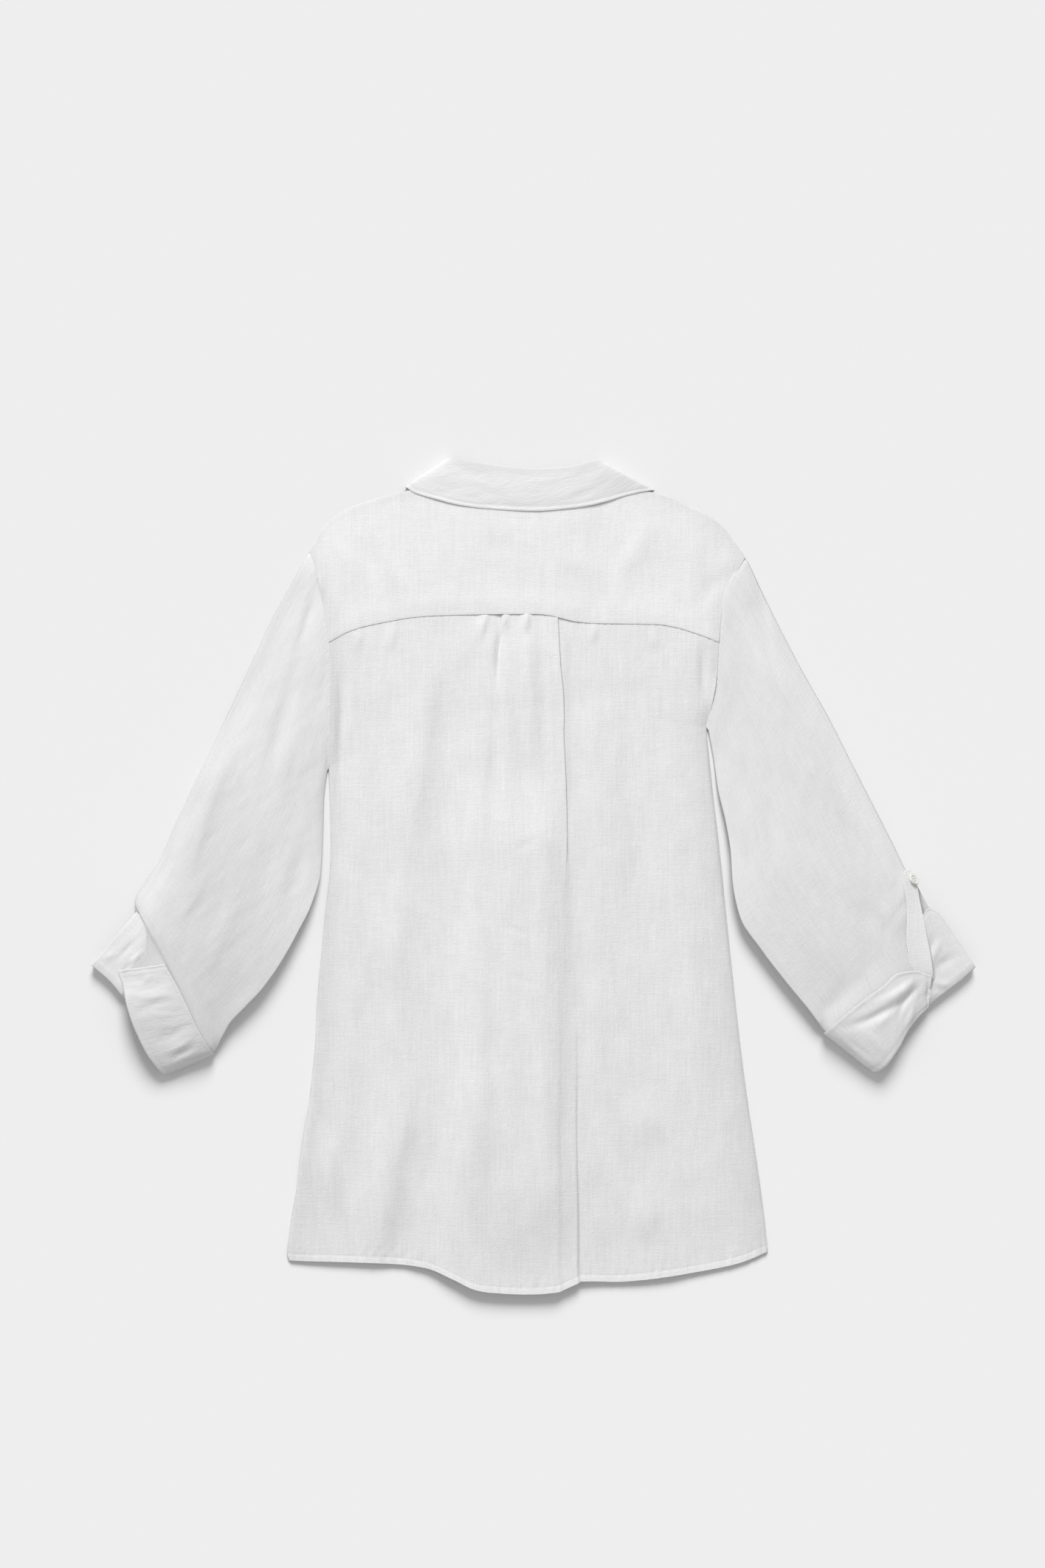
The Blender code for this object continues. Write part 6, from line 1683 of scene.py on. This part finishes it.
def make_stage(studio):
    """The floor, the even light from all round, the window and the camera straight above."""
    scene = bpy.context.scene
    bpy.ops.mesh.primitive_plane_add(size=FLOOR_SIZE)
    floor = bpy.context.object
    floor.name = "floor"
    floor.data.materials.append(painted_board("painted board", studio.floor))
    world = bpy.data.worlds.new("even light")
    world.use_nodes = True
    sky = world.node_tree.nodes["Background"].inputs
    sky["Color"].default_value = (1, 1, 1, 1)
    sky["Strength"].default_value = studio.sky
    scene.world = world
    on_cloth = bpy.data.collections[DRESSED]
    on_floor = bpy.data.collections.new("floor alone")
    on_floor.objects.link(floor)
    for name, kind, strength, stands, lit in (
        ("window on the cloth", "SUN", studio.window, WINDOW["cloth"], on_cloth),
        ("window on the floor", "SUN", studio.shade, WINDOW["floor"], on_floor),
        ("softbox", "AREA", studio.softbox, None, on_cloth),
    ):
        lamp = bpy.data.lights.new(name, kind)
        lamp.energy = strength
        light = bpy.data.objects.new(name, lamp)
        if kind == "SUN":
            lamp.angle = math.radians(WINDOW["width"])
            turn, rise = (math.radians(angle) for angle in stands)
            away = Vector((math.cos(turn), math.sin(turn), math.tan(rise)))
        else:
            lamp.shape, lamp.size = "DISK", SOFTBOX["size"]
            light.location = SOFTBOX["place"]
            away = light.location - Vector(SOFTBOX["towards"])
        light.rotation_mode = "QUATERNION"
        light.rotation_quaternion = away.to_track_quat("Z", "Y")
        light.light_linking.receiver_collection = lit
        scene.collection.objects.link(light)
    lens = bpy.data.cameras.new("camera")
    lens.lens, lens.sensor_width = LENS, SENSOR
    lens.clip_end = 20
    camera = bpy.data.objects.new("camera", lens)
    across = (PHOTO_SIZE[0] / 2 - PHOTO_ORIGIN[0]) * PHOTO_SCALE
    up = (PHOTO_ORIGIN[1] - PHOTO_SIZE[1] / 2) * PHOTO_SCALE
    away = LENS * PHOTO_SIZE[1] * PHOTO_SCALE / SENSOR
    camera.location = Vector((across, up, away)) * MM
    scene.collection.objects.link(camera)
    scene.camera = camera
    scene.view_settings.view_transform = "Standard"


class BlouseLinen(bpy.types.PropertyGroup):
    """The cloth."""

    colour: FloatVectorProperty(
        name="Colour", description="Colour of the bleached yarn",
        subtype="COLOR", default=linear(BLEACHED_LINEN), min=0, max=1,
    )
    streaks: FloatProperty(
        name="Streaks", description="How much darker the thin places in the yarn are",
        subtype="FACTOR", default=0.1, min=0, max=0.3,
    )
    wall: FloatProperty(
        name="Thickness", description="Thickness of one layer",
        subtype="DISTANCE", default=0.00045, min=0.0002, max=0.0011,
    )
    yarn: FloatProperty(
        name="Yarn",
        description="Spacing of the yarns, drawn coarser than the real 0.55 mm so that it shows",
        subtype="DISTANCE", default=0.0011, min=0.0003, max=0.003,
    )
    folds: FloatProperty(
        name="Folds", description="Depth of the soft folds and creases",
        subtype="FACTOR", default=1.6, min=0, max=2,
    )


class BlouseSewing(bpy.types.PropertyGroup):
    """The thread and its stitches."""

    colour: FloatVectorProperty(
        name="Thread", description="Colour of the thread",
        subtype="COLOR", default=linear(SEWING_THREAD), min=0, max=1,
    )
    thread: FloatProperty(
        name="Thickness", description="Thickness of the thread",
        subtype="DISTANCE", default=0.00042, min=0.0001, max=0.001,
    )
    stitch: FloatProperty(
        name="Stitch", description="Length of a stitch",
        subtype="DISTANCE", default=0.0024, min=0.001, max=0.006,
    )
    gap: FloatProperty(
        name="Gap", description="Cloth between one stitch and the next",
        subtype="DISTANCE", default=0.0005, min=0.0002, max=0.002,
    )


class BlouseButtons(bpy.types.PropertyGroup):
    """The shell buttons."""

    colour: FloatVectorProperty(
        name="Shell", description="Colour of the polished shell",
        subtype="COLOR", default=linear(SHELL_WHITE), min=0, max=1,
    )


class BlouseStudio(bpy.types.PropertyGroup):
    """The floor and the light."""

    floor: FloatVectorProperty(
        name="Floor", description="Colour of the painted floor",
        subtype="COLOR", default=linear(STUDIO_FLOOR), min=0, max=1,
    )
    sky: FloatProperty(
        name="Even light", description="Brightness from all round", default=0.46, min=0, max=4
    )
    window: FloatProperty(
        name="Window", description="Window's light on the cloth", default=2.1, min=0, max=10
    )
    shade: FloatProperty(
        name="Window, floor", description="Window's light on the floor", default=3.36, min=0, max=10
    )
    softbox: FloatProperty(
        name="Softbox", description="Power of the softbox",
        subtype="POWER", default=6.0, min=0, max=100,
    )


class BlouseSettings(bpy.types.PropertyGroup):
    """Everything that a user would change."""

    linen: PointerProperty(type=BlouseLinen)
    sewing: PointerProperty(type=BlouseSewing)
    buttons: PointerProperty(type=BlouseButtons)
    studio: PointerProperty(type=BlouseStudio)


class BLOUSE_OT_back(bpy.types.Operator):
    """Make the back panel with its box pleat and its stitched hem"""

    bl_idname = "blouse.back"
    bl_label = "Back"

    def execute(self, context):
        make_back(context.scene.blouse)
        return {"FINISHED"}


class BLOUSE_OT_yoke(bpy.types.Operator):
    """Make the yoke, whose lower edge lies on the back"""

    bl_idname = "blouse.yoke"
    bl_label = "Yoke"

    def execute(self, context):
        make_yoke(context.scene.blouse)
        return {"FINISHED"}


class BLOUSE_OT_fronts(bpy.types.Operator):
    """Make both fronts, which lie under the back"""

    bl_idname = "blouse.fronts"
    bl_label = "Fronts"

    def execute(self, context):
        make_fronts(context.scene.blouse)
        return {"FINISHED"}


class BLOUSE_OT_sleeves(bpy.types.Operator):
    """Make both sleeves as flattened tubes with an open slit"""

    bl_idname = "blouse.sleeves"
    bl_label = "Sleeves"

    def execute(self, context):
        make_sleeves(context.scene.blouse)
        return {"FINISHED"}


class BLOUSE_OT_cuffs(bpy.types.Operator):
    """Make both turned-back cuffs"""

    bl_idname = "blouse.cuffs"
    bl_label = "Cuffs"

    def execute(self, context):
        make_cuffs(context.scene.blouse)
        return {"FINISHED"}


class BLOUSE_OT_collar(bpy.types.Operator):
    """Make the collar's stand and its fall"""

    bl_idname = "blouse.collar"
    bl_label = "Collar"

    def execute(self, context):
        make_collar(context.scene.blouse)
        return {"FINISHED"}


class BLOUSE_OT_tabs(bpy.types.Operator):
    """Make the tab that holds the right roll and the one inside the left sleeve"""

    bl_idname = "blouse.tabs"
    bl_label = "Tabs"

    def execute(self, context):
        make_tabs(context.scene.blouse)
        return {"FINISHED"}


class BLOUSE_OT_buttons(bpy.types.Operator):
    """Make the shell buttons and their thread"""

    bl_idname = "blouse.buttons"
    bl_label = "Buttons"

    def execute(self, context):
        make_buttons(context.scene.blouse)
        return {"FINISHED"}


class BLOUSE_OT_stage(bpy.types.Operator):
    """Make the floor, the light and the camera"""

    bl_idname = "blouse.stage"
    bl_label = "Stage"

    def execute(self, context):
        make_stage(context.scene.blouse.studio)
        return {"FINISHED"}


OPERATORS = (
    BLOUSE_OT_fronts,
    BLOUSE_OT_back,
    BLOUSE_OT_yoke,
    BLOUSE_OT_sleeves,
    BLOUSE_OT_cuffs,
    BLOUSE_OT_collar,
    BLOUSE_OT_tabs,
    BLOUSE_OT_buttons,
    BLOUSE_OT_stage,
)


class BLOUSE_PT_pieces(bpy.types.Panel):
    """The blouse's pieces and what can be changed on them"""

    bl_idname = "BLOUSE_PT_pieces"
    bl_label = "Linen Blouse"
    bl_space_type = "VIEW_3D"
    bl_region_type = "UI"
    bl_category = "Blouse"

    def draw(self, context):
        for name in ("linen", "sewing", "buttons", "studio"):
            box = self.layout.box()
            box.label(text=name.title())
            group = getattr(context.scene.blouse, name)
            for setting in group.__annotations__:
                box.prop(group, setting)
        for operator in OPERATORS:
            self.layout.operator(operator.bl_idname)


GROUPS = (BlouseLinen, BlouseSewing, BlouseButtons, BlouseStudio, BlouseSettings)
CLASSES = (*GROUPS, *OPERATORS, BLOUSE_PT_pieces)


def register():
    for each in CLASSES:
        bpy.utils.register_class(each)
    bpy.types.Scene.blouse = PointerProperty(type=BlouseSettings)


def unregister():
    del bpy.types.Scene.blouse
    for each in reversed(CLASSES):
        bpy.utils.unregister_class(each)


def main():
    register()
    for operator in OPERATORS:
        group, name = operator.bl_idname.split(".")
        getattr(getattr(bpy.ops, group), name)()
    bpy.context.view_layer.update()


if __name__ == "__main__":
    main()
